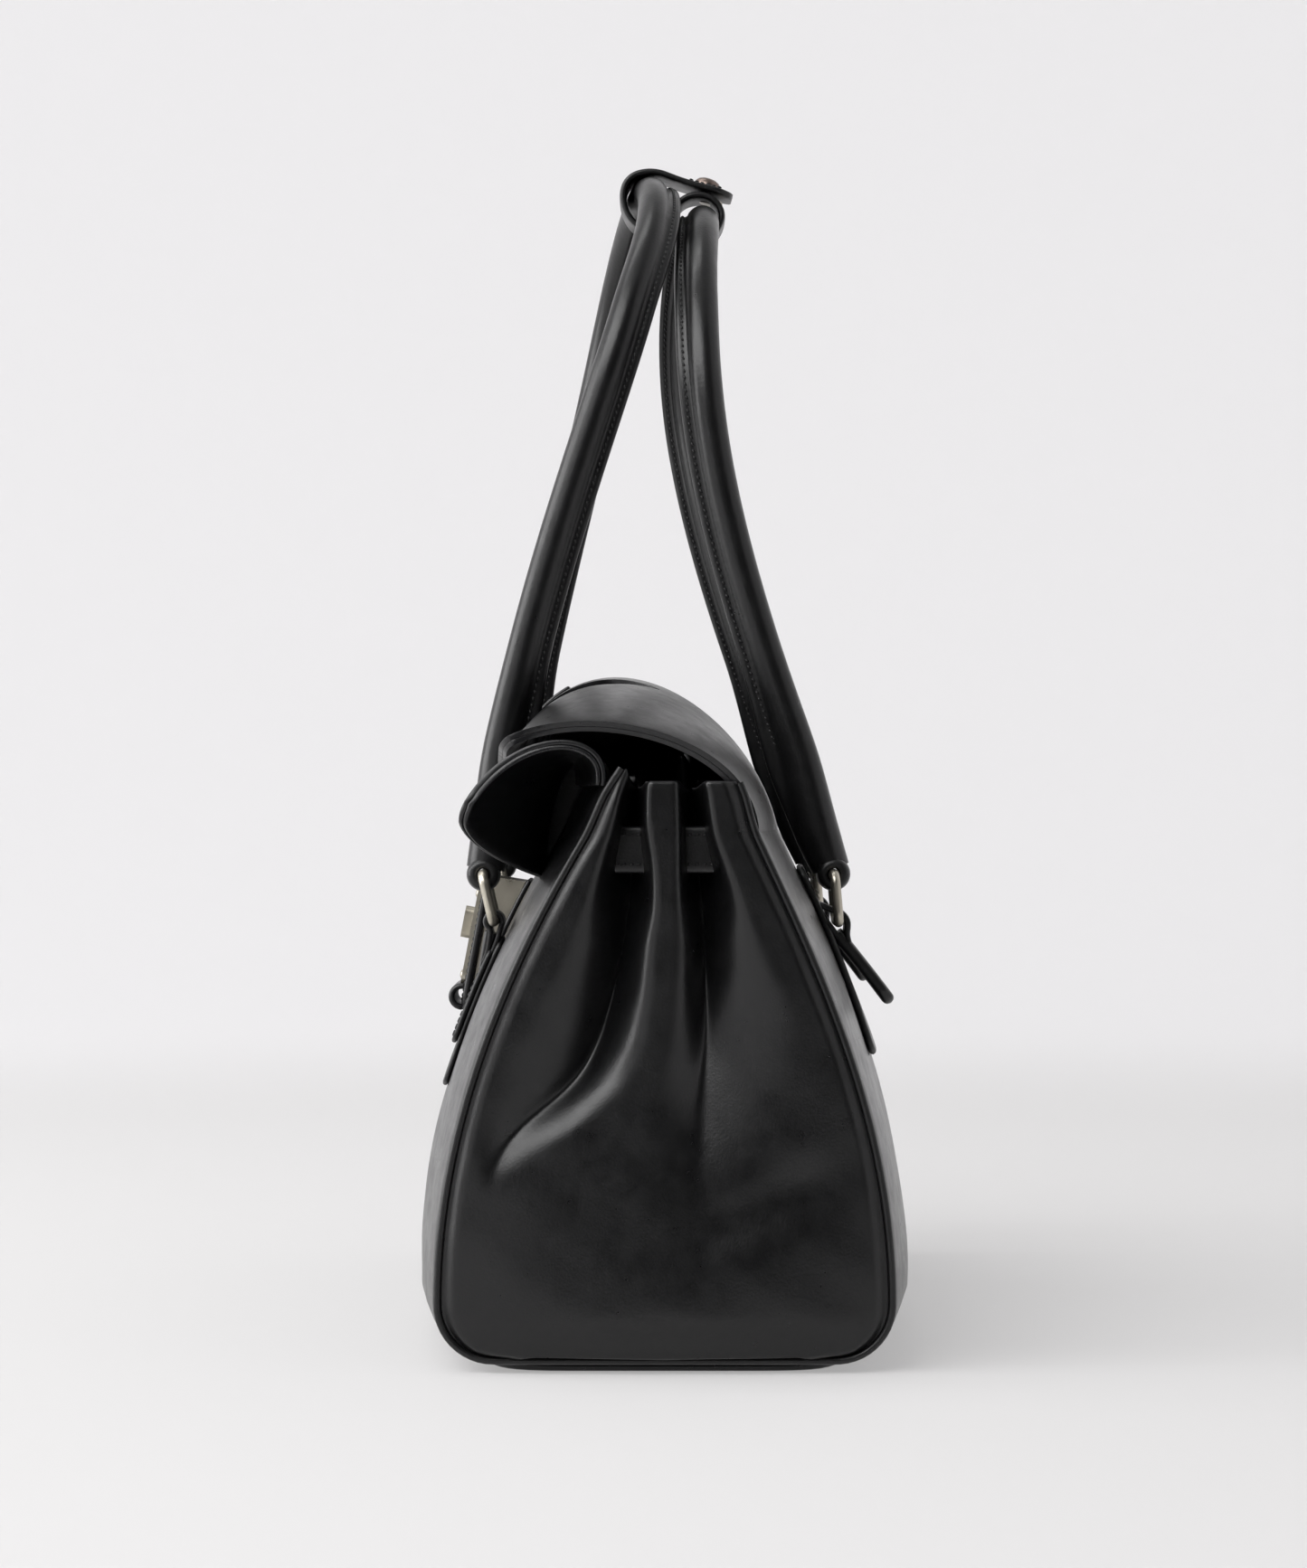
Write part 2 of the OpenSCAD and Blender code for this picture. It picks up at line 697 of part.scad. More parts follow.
module lock_toggle() {
    bar_z = hasp_t + 0.4;
    color("#d2cdbf")
        at_tongue()
            translate([0, -lock_drop, 0]) {
                translate([0, 0, lock_face - 3.8])
                    cylinder(r = shaft_d / 2, h = bar_z - lock_face + 4);
                translate([-toggle_w / 2, -toggle_len / 2 + toggle_w / 2, bar_z])
                    cube([toggle_w, toggle_len - toggle_w, toggle_t]);
                for (sy = [-1, 1])
                    translate([0, sy * (toggle_len - toggle_w) / 2, bar_z])
                        cylinder(r = toggle_w / 2, h = toggle_t);
            }
}

// Rings: the lower bar turns in the chape, the upper bar carries the handle.
ring_off = loop_r + 1;
function low_bar(s) = skin(s, ring_z, ring_off, leg_x);
function ring_lean(s) = s < 0 ? front_ring_lean : back_ring_lean;
function top_bar(s) = low_bar(s) + ring_pitch * [s * sin(ring_lean(s)), cos(ring_lean(s))];

module ring_at(e, s) {
    p = low_bar(s);
    translate([e * leg_x, p[0], p[1]])
        rotate([-s * ring_lean(s), 0, 0]) {
            for (z = [0, ring_pitch])
                bar_x(0, 0, z, wire_r, 2 * (ring_half - ring_corner));
            for (x = [-1, 1]) {
                translate([x * ring_half, 0, ring_corner])
                    cylinder(r = wire_r, h = ring_pitch - 2 * ring_corner);
                for (z = [0, 1])
                    translate([x * (ring_half - ring_corner), 0, z ? ring_pitch - ring_corner : ring_corner])
                        mirror([x < 0 ? 1 : 0, 0, 0])
                            mirror([0, 0, z ? 0 : 1])
                                rotate([90, 0, 0])
                                    rotate_extrude(angle = 90)
                                        translate([ring_corner, 0])
                                            circle(wire_r);
            }
        }
}

module front_right_ring() {
    color("#c2bcae")
        ring_at(1, -1);
}

module front_left_ring() {
    color("#c2bcae")
        ring_at(-1, -1);
}

module back_right_ring() {
    color("#c2bcae")
        ring_at(1, 1);
}

module back_left_ring() {
    color("#c2bcae")
        ring_at(-1, 1);
}

// Chapes: a strap on the panel with a loop around the ring's lower bar.
function strap_poly(s, lo, hi) =
    let (zs = [for (i = [0:8]) mix(lo, hi, i / 8)], x = leg_x - chape_w / 2)
    concat(
        [for (z = zs) skin(s, z, 0.2, x)],
        [for (i = [8:-1:0]) skin(s, zs[i], 0.2 + chape_t, x)]
    );

tail_turn = 144;
module chape(e, s, foot, top) {
    p = low_bar(s);
    difference() {
        union() {
            across(e * leg_x, chape_w)
                polygon(strap_poly(s, foot, top));
            bar_x(e * leg_x, p[0], p[1], loop_r, chape_w);
            if (s > 0)
                translate([e * leg_x, p[0], p[1]])
                    rotate([-tail_turn, 0, 0])
                        translate([0, 0.7 * wire_r + chape_t, (tail_len - loop_r) / 2])
                            rotate([90, 0, 0])
                                plate(chape_w - 1, tail_len + loop_r, 0.4 * chape_w, chape_t);
        }
        bar_x(e * leg_x, p[0], p[1], wire_r + run, chape_w + 2);
    }
}

module front_right_chape() {
    color("#141414")
        chape(1, -1, chape_foot, ring_z + 4);
}

module front_left_chape() {
    color("#141414")
        chape(-1, -1, chape_foot, ring_z + 4);
}

module back_right_chape() {
    color("#141414")
        chape(1, 1, ring_z - back_len, ring_z + strap_up);
}

module back_left_chape() {
    color("#141414")
        chape(-1, 1, ring_z - back_len, ring_z + strap_up);
}

module chape_rivets() {
    color("#c9c4b8")
        for (e = [-1, 1], z = [ring_z + 0.5 * strap_up, ring_z + 0.77 * strap_up]) {
            p = skin(1, z, 0.2 + chape_t, leg_x - chape_w / 2);
            translate([e * leg_x, p[0], p[1]])
                rotate([-atan2(out_y(1, z), out_z(1, z)), 0, 0])
                    dome(3.8, 0.6);
        }
}

// Handles: a path in y and z that bows, with the legs closing to an arch at the top.
front_bow = [[0.313, 0.468], [0.673, 0.617]];
back_bow = [[0.528, 0.338], [1.302, 0.646]];
leg_steps = 12;
arch_steps = 9;
function rise_of(s) = s < 0 ? front_rise : back_rise;
function reach_of(s) = s < 0 ? front_reach : back_reach;
function bow_of(s) = s < 0 ? front_bow : back_bow;
function twist_of(s) = s < 0 ? front_twist : back_twist;
function leg_bez(s, t) =
    let (a = top_bar(s), d = [reach_of(s), rise_of(s)] - a, b = bow_of(s))
    bez(a, a + [b[0][0] * d[0], b[0][1] * d[1]], a + [b[1][0] * d[0], b[1][1] * d[1]], a + d, t);
function leg_t(s, z, lo, hi, n) =
    let (m = (lo + hi) / 2)
    n == 0 ? m : leg_bez(s, m)[1] < z ? leg_t(s, z, m, hi, n - 1) : leg_t(s, z, lo, m, n - 1);
function handle_pt(s, e, x, v) =
    let (
        a = top_bar(s)[1],
        z = a + (rise_of(s) - a) * v,
        y = leg_bez(s, leg_t(s, z, 0, 1, 22))[0]
    )
    [e * x, y + twist_of(s) * e * x / leg_x * v * v, z];
function arch_v(s) = 1 - leg_x / (rise_of(s) - top_bar(s)[1]);
function start_v(s) = (end_len + fit) / (rise_of(s) - top_bar(s)[1]);
function half_path(s, e) = concat(
    [for (i = [0:leg_steps - 1]) handle_pt(s, e, leg_x, mix(start_v(s), arch_v(s), i / leg_steps))],
    [for (i = [0:arch_steps - 1]) let (q = 90 * i / arch_steps)
        handle_pt(s, e, leg_x * cos(q), mix(arch_v(s), 1, sin(q)))]
);
function handle_path(s) =
    let (l = half_path(s, -1))
    concat(half_path(s, 1), [handle_pt(s, 1, 0, 1)], [for (i = [len(l) - 1:-1:0]) l[i]]);

module handle_cover(s) {
    pipe(handle_path(s), handle_r, handle_r - cover_t, 10, [0, 1, 0]);
}

module handle_core(s) {
    rod(handle_path(s), handle_r - cover_t - fit, 10, [0, 1, 0]);
}

module handle_ends(s) {
    a = top_bar(s);
    for (e = [-1, 1]) {
        b = handle_pt(s, e, leg_x, start_v(s));
        d = b - [e * leg_x, a[0], a[1]];
        difference() {
            translate([e * leg_x, a[0], a[1]])
                rotate([-atan2(d[1], d[2]), 0, 0]) {
                    cylinder(r1 = end_d / 2, r2 = handle_r, h = norm(d) - 0.6);
                    sphere(end_d / 2);
                }
            bar_x(e * leg_x, a[0], a[1], wire_r + run, 3 * handle_d);
        }
    }
}

module front_handle_cover() {
    color("#191919")
        handle_cover(-1);
}

module front_handle_core() {
    color("#8a7a60")
        handle_core(-1);
}

module front_handle_ends() {
    color("#191919")
        handle_ends(-1);
}

module back_handle_cover() {
    color("#191919")
        handle_cover(1);
}

module back_handle_core() {
    color("#8a7a60")
        handle_core(1);
}

module back_handle_ends() {
    color("#191919")
        handle_ends(1);
}

// Keeper: a loop on each handle's top, joined by a tab with a snap.
keeper_in = handle_r + keeper_slack;
keeper_out = keeper_in + keeper_t;
function loop_mid(s) = [reach_of(s), rise_of(s) - keeper_slack + 0.35];
tab_n = [sin(keeper_slope), cos(keeper_slope)];
tab_d = [cos(keeper_slope), -sin(keeper_slope)];
tab_from = loop_mid(-1) + keeper_out * tab_n;
tab_bend = 9;
loop_gap = (loop_mid(-1) - loop_mid(1)) * tab_n - keeper_t;
snap_s = (loop_mid(1) - loop_mid(-1)) * tab_d;

// Runs along the tab: y away from the front handle, z out of its upper face.
module at_tab() {
    translate([0, tab_from[0], tab_from[1]])
        rotate([-keeper_slope, 0, 0])
            children();
}

module keeper_loop_front() {
    m = loop_mid(-1);
    b = loop_mid(1);
    color("#151515")
        difference() {
            union() {
                bar_x(0, m[0], m[1], keeper_out, keeper_w);
                at_tab()
                    translate([-keeper_w / 2, 0, -keeper_t])
                        cube([keeper_w, tab_bend, keeper_t]);
            }
            bar_x(0, m[0], m[1], keeper_in, keeper_w + 2);
            bar_x(0, b[0], b[1], keeper_out + 0.6, keeper_w + 2);
        }
}

module keeper_tab() {
    color("#151515")
        at_tab()
            difference() {
                union() {
                    translate([-keeper_w / 2, tab_bend + 0.3, -keeper_t])
                        cube([keeper_w, keeper_len - tab_bend - 5.3, keeper_t]);
                    translate([-keeper_w / 2 + 5, keeper_len - 5, -keeper_t])
                        cube([keeper_w - 10, 5, keeper_t]);
                    for (x = [-1, 1])
                        translate([x * (keeper_w / 2 - 5), keeper_len - 5, -keeper_t])
                            cylinder(r = 5, h = keeper_t);
                }
                translate([0, snap_s, -20])
                    cylinder(r = 1.5 + run, h = 40);
            }
}

module snap_cap() {
    color("#c9c4b8")
        at_tab()
            translate([0, snap_s, 0]) {
                dome(cap_d, 2.2);
                translate([0, 0, -keeper_t + 0.05])
                    cylinder(r = 1.5, h = keeper_t + 0.5);
            }
}

module snap_socket() {
    color("#c9c4b8")
        at_tab()
            translate([0, snap_s, -keeper_t - 0.42 * loop_gap])
                difference() {
                    cylinder(r = 4.5, h = 0.42 * loop_gap);
                    translate([0, 0, -1])
                        cylinder(r = 2.4, h = loop_gap + 2);
                }
}

module keeper_loop_back() {
    m = loop_mid(1);
    color("#151515")
        difference() {
            bar_x(0, m[0], m[1], keeper_out, keeper_w);
            bar_x(0, m[0], m[1], keeper_in, keeper_w + 2);
        }
}

module snap_stud() {
    color("#c9c4b8")
        at_tab()
            translate([0, snap_s, -keeper_t - loop_gap]) {
                cylinder(r = 4, h = 0.34 * loop_gap);
                cylinder(r = 2, h = 0.85 * loop_gap);
            }
}

base_panel();
base_board();
front_panel();
back_panel();
right_gusset();
left_gusset();
right_piping();
left_piping();
right_belt();
left_belt();
lining_body();
lining_ends();
front_lapel();
flap_root();
flap_front();
tongue_strap();
hasp_plate();
hasp_rivets();
tongue_pull();
lock_patch();
lock_body();
lock_screws();
lock_toggle();
front_right_ring();
front_left_ring();
back_right_ring();
back_left_ring();
front_right_chape();
front_left_chape();
back_right_chape();
back_left_chape();
chape_rivets();
front_handle_cover();
front_handle_core();
front_handle_ends();
back_handle_cover();
back_handle_core();
back_handle_ends();
keeper_loop_front();
keeper_tab();
snap_cap();
snap_socket();
keeper_loop_back();
snap_stud();
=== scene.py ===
import math

import bmesh
import bpy
import numpy as np
from bpy.props import FloatProperty, FloatVectorProperty, PointerProperty
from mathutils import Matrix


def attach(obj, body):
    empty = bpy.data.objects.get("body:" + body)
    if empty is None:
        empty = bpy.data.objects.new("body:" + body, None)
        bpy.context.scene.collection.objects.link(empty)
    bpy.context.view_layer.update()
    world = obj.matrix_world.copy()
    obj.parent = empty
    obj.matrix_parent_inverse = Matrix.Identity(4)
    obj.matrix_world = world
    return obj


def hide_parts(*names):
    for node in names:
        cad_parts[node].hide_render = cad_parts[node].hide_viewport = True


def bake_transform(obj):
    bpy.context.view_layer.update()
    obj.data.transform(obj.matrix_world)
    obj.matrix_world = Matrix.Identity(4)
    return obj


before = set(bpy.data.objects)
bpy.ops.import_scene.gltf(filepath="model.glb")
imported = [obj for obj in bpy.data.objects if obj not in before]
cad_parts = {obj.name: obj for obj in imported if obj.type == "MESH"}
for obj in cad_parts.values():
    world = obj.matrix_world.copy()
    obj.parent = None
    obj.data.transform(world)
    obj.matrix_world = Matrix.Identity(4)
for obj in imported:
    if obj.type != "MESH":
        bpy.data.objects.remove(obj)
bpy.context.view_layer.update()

bl_info = {
    "name": "Belted flap handbag",
    "version": (1, 0, 0),
    "blender": (4, 5, 0),
    "location": "View3D > Sidebar > Handbag",
    "description": "Dresses the frame of a belted flap handbag in leather, thread, lining and nickel",
    "category": "Object",
}

# The bag's own measures, in millimetres: x along the bag, the front at -y, z up from the table.
MM = 0.001
HALF_LEN = 161.6
BASE_HALF, FLAT_HALF, CORNER_R, CORNER_Z = 77.0, 57.0, 20.0, 23.0
PANEL_TOP, BACK_TOP, SIDE_RISE = 196.0, 180.0, 173.0
MOUTH_HALF, MOUTH_SHIFT, MOUTH_EASE, EASE_FROM, EASE_RISE = 20.5, 3.5, 2.6, 178.0, 18.0
BULGE = 10.0
BASE_X, BASE_Y, BASE_T = 157.0, 62.5, 3.0
SEAM_X, FOLD_FULL, GUSSET_T = 165.0, 33.0, 2.2
LINING_TOP, LINING_X, LINING_IN, LINING_T = 163.0, 156.0, 3.7, 0.8
BELT_X, BELT_LOW, BELT_HIGH, BELT_T = 151.6, 166.0, 182.0, 2.8
LEG_X = 78.0
SLOT_HALF, SLOT_TIP, SLOT_ROOT, SLOT_TAPER = 12.5, 1.2, -1.0, 17.0
LOBE, FRONT, LEFT_SAG = (-55.0, 210.5), (-59.0, 196.0), 15.0
HEM_Z, LAPEL_RISE, FLARE, FLARE_LEN = 164.0, 17.0, (-69.0, 186.0), 60.0
# The left corner is less full than the right one, which the flap's sag leaves free.
LEFT_FULL, FACING_X, STAY_X = 0.45, 92.0, 150.0
TONGUE_W, TONGUE_LEN, TONGUE_LEAN, LOCK_DROP = 36.0, 84.0, math.asin(0.1901), 52.0
TONGUE_Y, TONGUE_Z = FRONT[0] - 0.9, FRONT[1] - 1.4
RING_Z, RING_PITCH, RING_LEAN, RING_OFF = 145.0, 17.0, {-1: 13.0, 1: -5.0}, 5.65
APEX = {-1: (-4.6, 417.0), 1: (12.2, 406.5)}
TWIST, TOP_LEAN = {-1: 9.0, 1: 4.5}, {-1: 2.0, 1: -1.0}
BOW = {-1: ((0.313, 0.468), (0.673, 0.617)), 1: ((0.528, 0.338), (1.302, 0.646))}
HANDLE_REACH, CORD_R, CORD_LAY = 7.8, 4.5, 9.0
KEEPER_W, KEEPER_T, KEEPER_SLOPE = 24.0, 2.6, math.radians(18)
SIDES, ENDS = (-1, 1), ((1, "right"), (-1, "left"))
ALONG_X = (1, 0, 0)
CALF, PLAIN = ("black_calf", "painted_edge"), ("black_strap_calf",)
STRAP = ("black_strap_calf", "painted_edge")


def mix(a, b, t):
    return a * (1 - t) + b * t


def smooth(t):
    c = np.clip(t, 0.0, 1.0)
    return c * c * (3 - 2 * c)


def unit(v):
    return v / np.maximum(np.linalg.norm(v, axis=-1, keepdims=True), 1e-9)


def grid(rows, cols):
    return np.meshgrid(rows, cols, indexing="ij")


def circle(n):
    return np.linspace(0, 2 * math.pi, n, endpoint=False)


def turned(a):
    return np.stack([np.cos(a), np.sin(a)], -1)


def yz(y, z):
    return np.stack(np.broadcast_arrays(np.asarray(y, float), np.asarray(z, float)), -1)


def xyz(x, p):
    return np.concatenate([np.broadcast_to(np.asarray(x, float), p.shape[:-1])[..., None], p], -1)


def bezier(p, q, r, s, t):
    t = np.asarray(t, float)[..., None]
    return p * (1 - t) ** 3 + q * 3 * t * (1 - t) ** 2 + r * 3 * t * t * (1 - t) + s * t ** 3


def round_end(d, r):
    """Share of the full width at a distance d from an end that is rounded off over r."""
    return np.sqrt(1 - (1 - np.clip(d / r, 0, 1)) ** 2)


def half(s, z):
    """Distance of a panel's face from the middle plane at the ends; s is -1 at the front, 1 at the back."""
    z = np.asarray(z, float)
    u = np.maximum(0.0, (z - CORNER_Z) / SIDE_RISE)
    side = BASE_HALF - (BASE_HALF - MOUTH_HALF) * u * u * (1.15 - 0.15 * u * u)
    return side + s * MOUTH_SHIFT * u ** 5 + MOUTH_EASE * smooth((z - EASE_FROM) / EASE_RISE)


def slope(s, z):
    return (half(s, np.asarray(z) + 0.05) - half(s, np.asarray(z) - 0.05)) / 0.1


def swell(x):
    return BULGE * np.maximum(0.0, 1 - np.abs(np.asarray(x, float) / HALF_LEN) ** 3)


def skin(s, z, off, x):
    """A point on a panel's face, moved outwards by off, at the length x."""
    d = slope(s, z)
    n = 1 / np.sqrt(1 + d * d)
    return yz(s * (half(s, z) + swell(x) + off * n), z - off * d * n)


def edge(s, a, off, x):
    """A point on the rounded lower edge, a from -90 degrees at the base to 0 at the side."""
    r = CORNER_R + off
    out = FLAT_HALF + r * np.cos(np.radians(a)) + swell(x) * (90 + a) / 90
    return yz(s * out, CORNER_Z + r * np.sin(np.radians(a)))


def inner_half(s, z, off):
    below = np.minimum(0.0, z - CORNER_Z)
    low = FLAT_HALF + np.sqrt(np.maximum(0.0, (CORNER_R - off) ** 2 - below ** 2))
    return np.where(z < CORNER_Z, low, half(s, z) - off * np.sqrt(1 + slope(s, z) ** 2))


def lie(s, x, z, top):
    """How far a panel's leather lies off its even form, nothing along its seams."""
    fade = (1 - np.abs(x / HALF_LEN) ** 6) * smooth((top - z) / 25) * smooth((z - 10) / 30)
    seed = 1.0 + s
    return fade * (
        0.55 * np.sin(x / 33 + seed) * np.sin(z / 29 + 2 * seed)
        + 0.35 * np.sin(x / 17 - z / 23 + seed)
        + 0.2 * np.sin(x / 9.3 + z / 13.1 + 3 * seed)
    )


class Shape:
    """Points and faces of one piece, gathered in millimetres."""

    def __init__(self):
        self.points, self.faces, self.slots, self.count = [], [], [], 0

    def put(self, pts):
        pts = np.asarray(pts, float)
        ids = np.arange(self.count, self.count + pts[..., 0].size).reshape(pts.shape[:-1])
        self.points.append(pts.reshape(-1, 3))
        self.count += ids.size
        return ids

    def quads(self, ids, slot=0, wrap=False):
        """Faces over a grid of point numbers, closed around its columns where wrap is set."""
        a = np.concatenate([ids, ids[:, :1]], 1) if wrap else ids
        q = np.stack([a[:-1, :-1], a[:-1, 1:], a[1:, 1:], a[1:, :-1]], -1).reshape(-1, 4)
        self.faces.extend(q.tolist())
        self.slots.extend([slot] * len(q))

    def cap(self, ring):
        self.faces.append([int(i) for i in ring])
        self.slots.append(0)

    def sheet(self, mid, low, high, rim=0, wrap=False, turns=3):
        """A sheet around a grid of points, from low to high along its normals, with a round rim."""
        du = np.gradient(mid, axis=0)
        dv = (np.roll(mid, -1, 1) - np.roll(mid, 1, 1)) / 2 if wrap else np.gradient(mid, axis=1)
        n = unit(np.cross(dv, du))
        top, under = self.put(mid + high * n), self.put(mid + low * n)
        self.quads(top, 0, wrap)
        self.quads(under[:, ::-1], 0, wrap)
        out = np.zeros_like(mid)
        out[0] += unit(mid[0] - mid[1])
        out[-1] += unit(mid[-1] - mid[-2])
        at = np.arange(top.size).reshape(top.shape)
        if wrap:
            loops = [at[0], at[-1, ::-1]]
        else:
            out[:, 0] += unit(mid[:, 0] - mid[:, 1])
            out[:, -1] += unit(mid[:, -1] - mid[:, -2])
            loops = [np.concatenate([at[0], at[1:, -1], at[-1, -2::-1], at[-2:0:-1, 0]])]
        out = unit(out)
        for loop in loops:
            i, j = np.divmod(loop, top.shape[1])
            centre = mid[i, j] + (high + low) / 2 * n[i, j]
            rings = [top[i, j]]
            for k in range(1, turns + 1):
                a = math.pi * k / (turns + 1)
                bend = math.cos(a) * n[i, j] + math.sin(a) * out[i, j]
                rings.append(self.put(centre + (high - low) / 2 * bend))
            rings.append(under[i, j])
            self.quads(np.stack(rings), rim, True)
        return self

    def sweep(self, path, section, first, ring=False):
        """A section carried along a path; first is the direction of the section's first axis."""
        a, b = axes(path, first, ring)
        sec = np.broadcast_to(section, (len(path),) + section.shape[-2:])
        ids = self.put(path[:, None] + sec[..., 0:1] * a[:, None] + sec[..., 1:2] * b[:, None])
        if ring:
            self.quads(np.concatenate([ids, ids[:1]]), 0, True)
        else:
            self.quads(ids, 0, True)
            self.cap(ids[0][::-1])
            self.cap(ids[-1])
        return self

    def mesh(self, name, finishes):
        mesh = bpy.data.meshes.new(name)
        mesh.from_pydata((np.concatenate(self.points) * MM).tolist(), [], self.faces)
        for finish in finishes:
            mesh.materials.append(bpy.data.materials[finish])
        mesh.polygons.foreach_set("material_index", self.slots)
        return mesh


def axes(path, first, ring=False):
    """Two directions across a path at each point, the first of them towards a given one."""
    t = unit((np.roll(path, -1, 0) - np.roll(path, 1, 0)) if ring else np.gradient(path, axis=0))
    a = np.broadcast_to(np.asarray(first, float), path.shape)
    a = unit(a - (a * t).sum(-1, keepdims=True) * t)
    return a, np.cross(t, a)


def slab(w, t, points=28, power=5.0):
    """Outline of a strap's section, w wide and t thick, with rounded edges."""
    c = turned(circle(points))
    return np.array([w, t]) / 2 * np.sign(c) * np.abs(c) ** (2 / power)


def eased(points, rounds=3, ring=False):
    """A smooth path through a rough one, by cutting its corners."""
    p = np.asarray(points, float)
    for _ in range(rounds):
        q = np.roll(p, -1, 0) if ring else p[1:]
        p0 = p if ring else p[:-1]
        cut = np.stack([0.75 * p0 + 0.25 * q, 0.25 * p0 + 0.75 * q], 1).reshape(-1, p.shape[1])
        p = cut if ring else np.concatenate([p[:1], cut, p[-1:]])
    return p


def lengths(path):
    """The distance along a path at each of its points."""
    return np.concatenate([[0], np.cumsum(np.linalg.norm(np.diff(path, axis=0), axis=1))])


def paced(path, step):
    """The same path with points a fixed step apart."""
    d = lengths(path)
    n = max(2, int(round(d[-1] / step)) + 1)
    return np.stack([np.interp(np.linspace(0, d[-1], n), d, column) for column in path.T], -1)


def placed(name, data):
    """Puts a mesh, a light or a camera into the scene."""
    obj = bpy.data.objects.new(name, data)
    bpy.context.scene.collection.objects.link(obj)
    return obj


def settle(name, mesh, body, nodes):
    """Turns a mesh into a piece of the bag that rides on a body and stands for CAD nodes."""
    bm = bmesh.new()
    bm.from_mesh(mesh)
    bmesh.ops.remove_doubles(bm, verts=bm.verts, dist=1e-6)
    bmesh.ops.recalc_face_normals(bm, faces=bm.faces)
    bm.to_mesh(mesh)
    bm.free()
    mesh.polygons.foreach_set("use_smooth", [True] * len(mesh.polygons))
    mesh.set_sharp_from_angle(angle=math.radians(55))
    obj = placed(name, mesh)
    if body:
        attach(obj, body)
    if nodes:
        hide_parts(*nodes)
    return obj


def make(name, shape, finishes, body=None, nodes=()):
    return settle(name, shape.mesh(name, finishes), body, nodes)


def dress(node, shape, finishes, body="bag_body", kind="calf"):
    """A piece that stands for one CAD node and carries its name."""
    return make(f"{node}_{kind}", shape, finishes, body, (node,))


def coat(*nodes, finish="brushed_nickel"):
    """Gives CAD meshes that stay as they are their material."""
    for node in nodes:
        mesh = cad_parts[node].data
        mesh.materials.clear()
        mesh.materials.append(bpy.data.materials[finish])


def finished(obj):
    """The mesh of an object with its modifiers applied; the object is removed."""
    bpy.context.view_layer.update()
    graph = bpy.context.evaluated_depsgraph_get()
    mesh = bpy.data.meshes.new_from_object(obj.evaluated_get(graph), depsgraph=graph)
    bpy.data.objects.remove(obj)
    return mesh


# Materials


def linear(code):
    """A colour written as an sRGB hex value, in linear light."""
    parts = [int(code[i:i + 2], 16) / 255 for i in (1, 3, 5)]
    return tuple(c / 12.92 if c <= 0.04045 else ((c + 0.055) / 1.055) ** 2.4 for c in parts) + (1.0,)


def add(tree, kind, settings=None):
    """Adds a node; a setting is an input, given or linked, where the node has one, else a property."""
    node = tree.nodes.new(kind)
    for key, value in (settings or {}).items():
        if not isinstance(key, int) and key not in node.inputs:
            setattr(node, key, value)
        elif isinstance(value, bpy.types.NodeSocket):
            tree.links.new(value, node.inputs[key])
        else:
            node.inputs[key].default_value = value
    return node


class Finish:
    """A material while its nodes are put together; sizes are in millimetres."""

    def __init__(self, name):
        mat = bpy.data.materials.new(name)
        mat.use_nodes = True
        self.tree = mat.node_tree
        self.tree.nodes.clear()
        self.place = self.node("TexCoord").outputs["Object"]

    def node(self, kind, settings=None):
        return add(self.tree, "ShaderNode" + kind, settings)

    def noise(self, size, detail, rough=0.5, place=None):
        """Noise whose blots are about size wide."""
        place = self.place if place is None else place
        settings = {"Scale": 1 / MM / size, "Detail": detail, "Roughness": rough, "Vector": place}
        return self.node("TexNoise", settings).outputs["Fac"]

    def tone(self, low, high, by):
        return self.node("Mix", {"data_type": "RGBA", 6: low, 7: high, 0: by}).outputs[2]

    def span(self, low, high, by):
        """A value from low to high over the middle of a noise."""
        return self.node("MapRange", {1: 0.3, 2: 0.7, 3: low, 4: high, 0: by}).outputs[0]

    def ease(self, low, high, by):
        settings = {"interpolation_type": "SMOOTHSTEP", 1: low, 2: high, 3: 0.0, 4: 1.0, 0: by}
        return self.node("MapRange", settings).outputs[0]

    def bump(self, strength, depth, height, under=None):
        settings = {"Strength": strength, "Distance": depth * MM, "Height": height}
        if under is not None:
            settings["Normal"] = under
        return self.node("Bump", settings).outputs[0]

    def calc(self, operation, a, b=None, kind="Math", out="Value"):
        settings = {"operation": operation, 0: a}
        if b is not None:
            settings[1] = b
        return self.node(kind, settings).outputs[out]

    def blend(self, share, first, second):
        return self.node("MixShader", {0: share, 1: first, 2: second}).outputs[0]

    def close(self, shader):
        self.node("OutputMaterial", {"Surface": shader})

    def principled(self, settings, tone=None, rough=None, bump=None):
        given = {"Base Color": tone, "Roughness": rough, "Normal": bump}
        settings.update({key: socket for key, socket in given.items() if socket is not None})
        self.close(self.node("BsdfPrincipled", settings).outputs[0])


def calf_leather(name, dark, light, gloss, grain):
    # Smooth black calf, dyed through and plated: fine pores, faint drawn lines, a soft wide sheen.
    f = Finish(name)
    cloud, drawn = f.noise(38, 4.0), f.noise(7, 5.0, 0.6)
    # Calf pores are 0.2 mm; drawn at 0.9 mm so that they show.
    pore = f.node("TexVoronoi", {"Scale": 1 / MM / 0.9, "Randomness": 1.0, "Vector": f.place})
    lines = f.bump(0.22, 0.4, drawn, f.bump(0.25, 1.2, cloud))
    f.principled(
        {"IOR": 1.42, "Coat Weight": 0.25, "Coat Roughness": 0.3, "Coat IOR": 1.35},
        tone=f.tone(dark, light, cloud),
        rough=f.span(gloss - 0.05, gloss + 0.07, drawn),
        bump=f.bump(grain, 0.2, pore.outputs["Distance"], lines),
    )


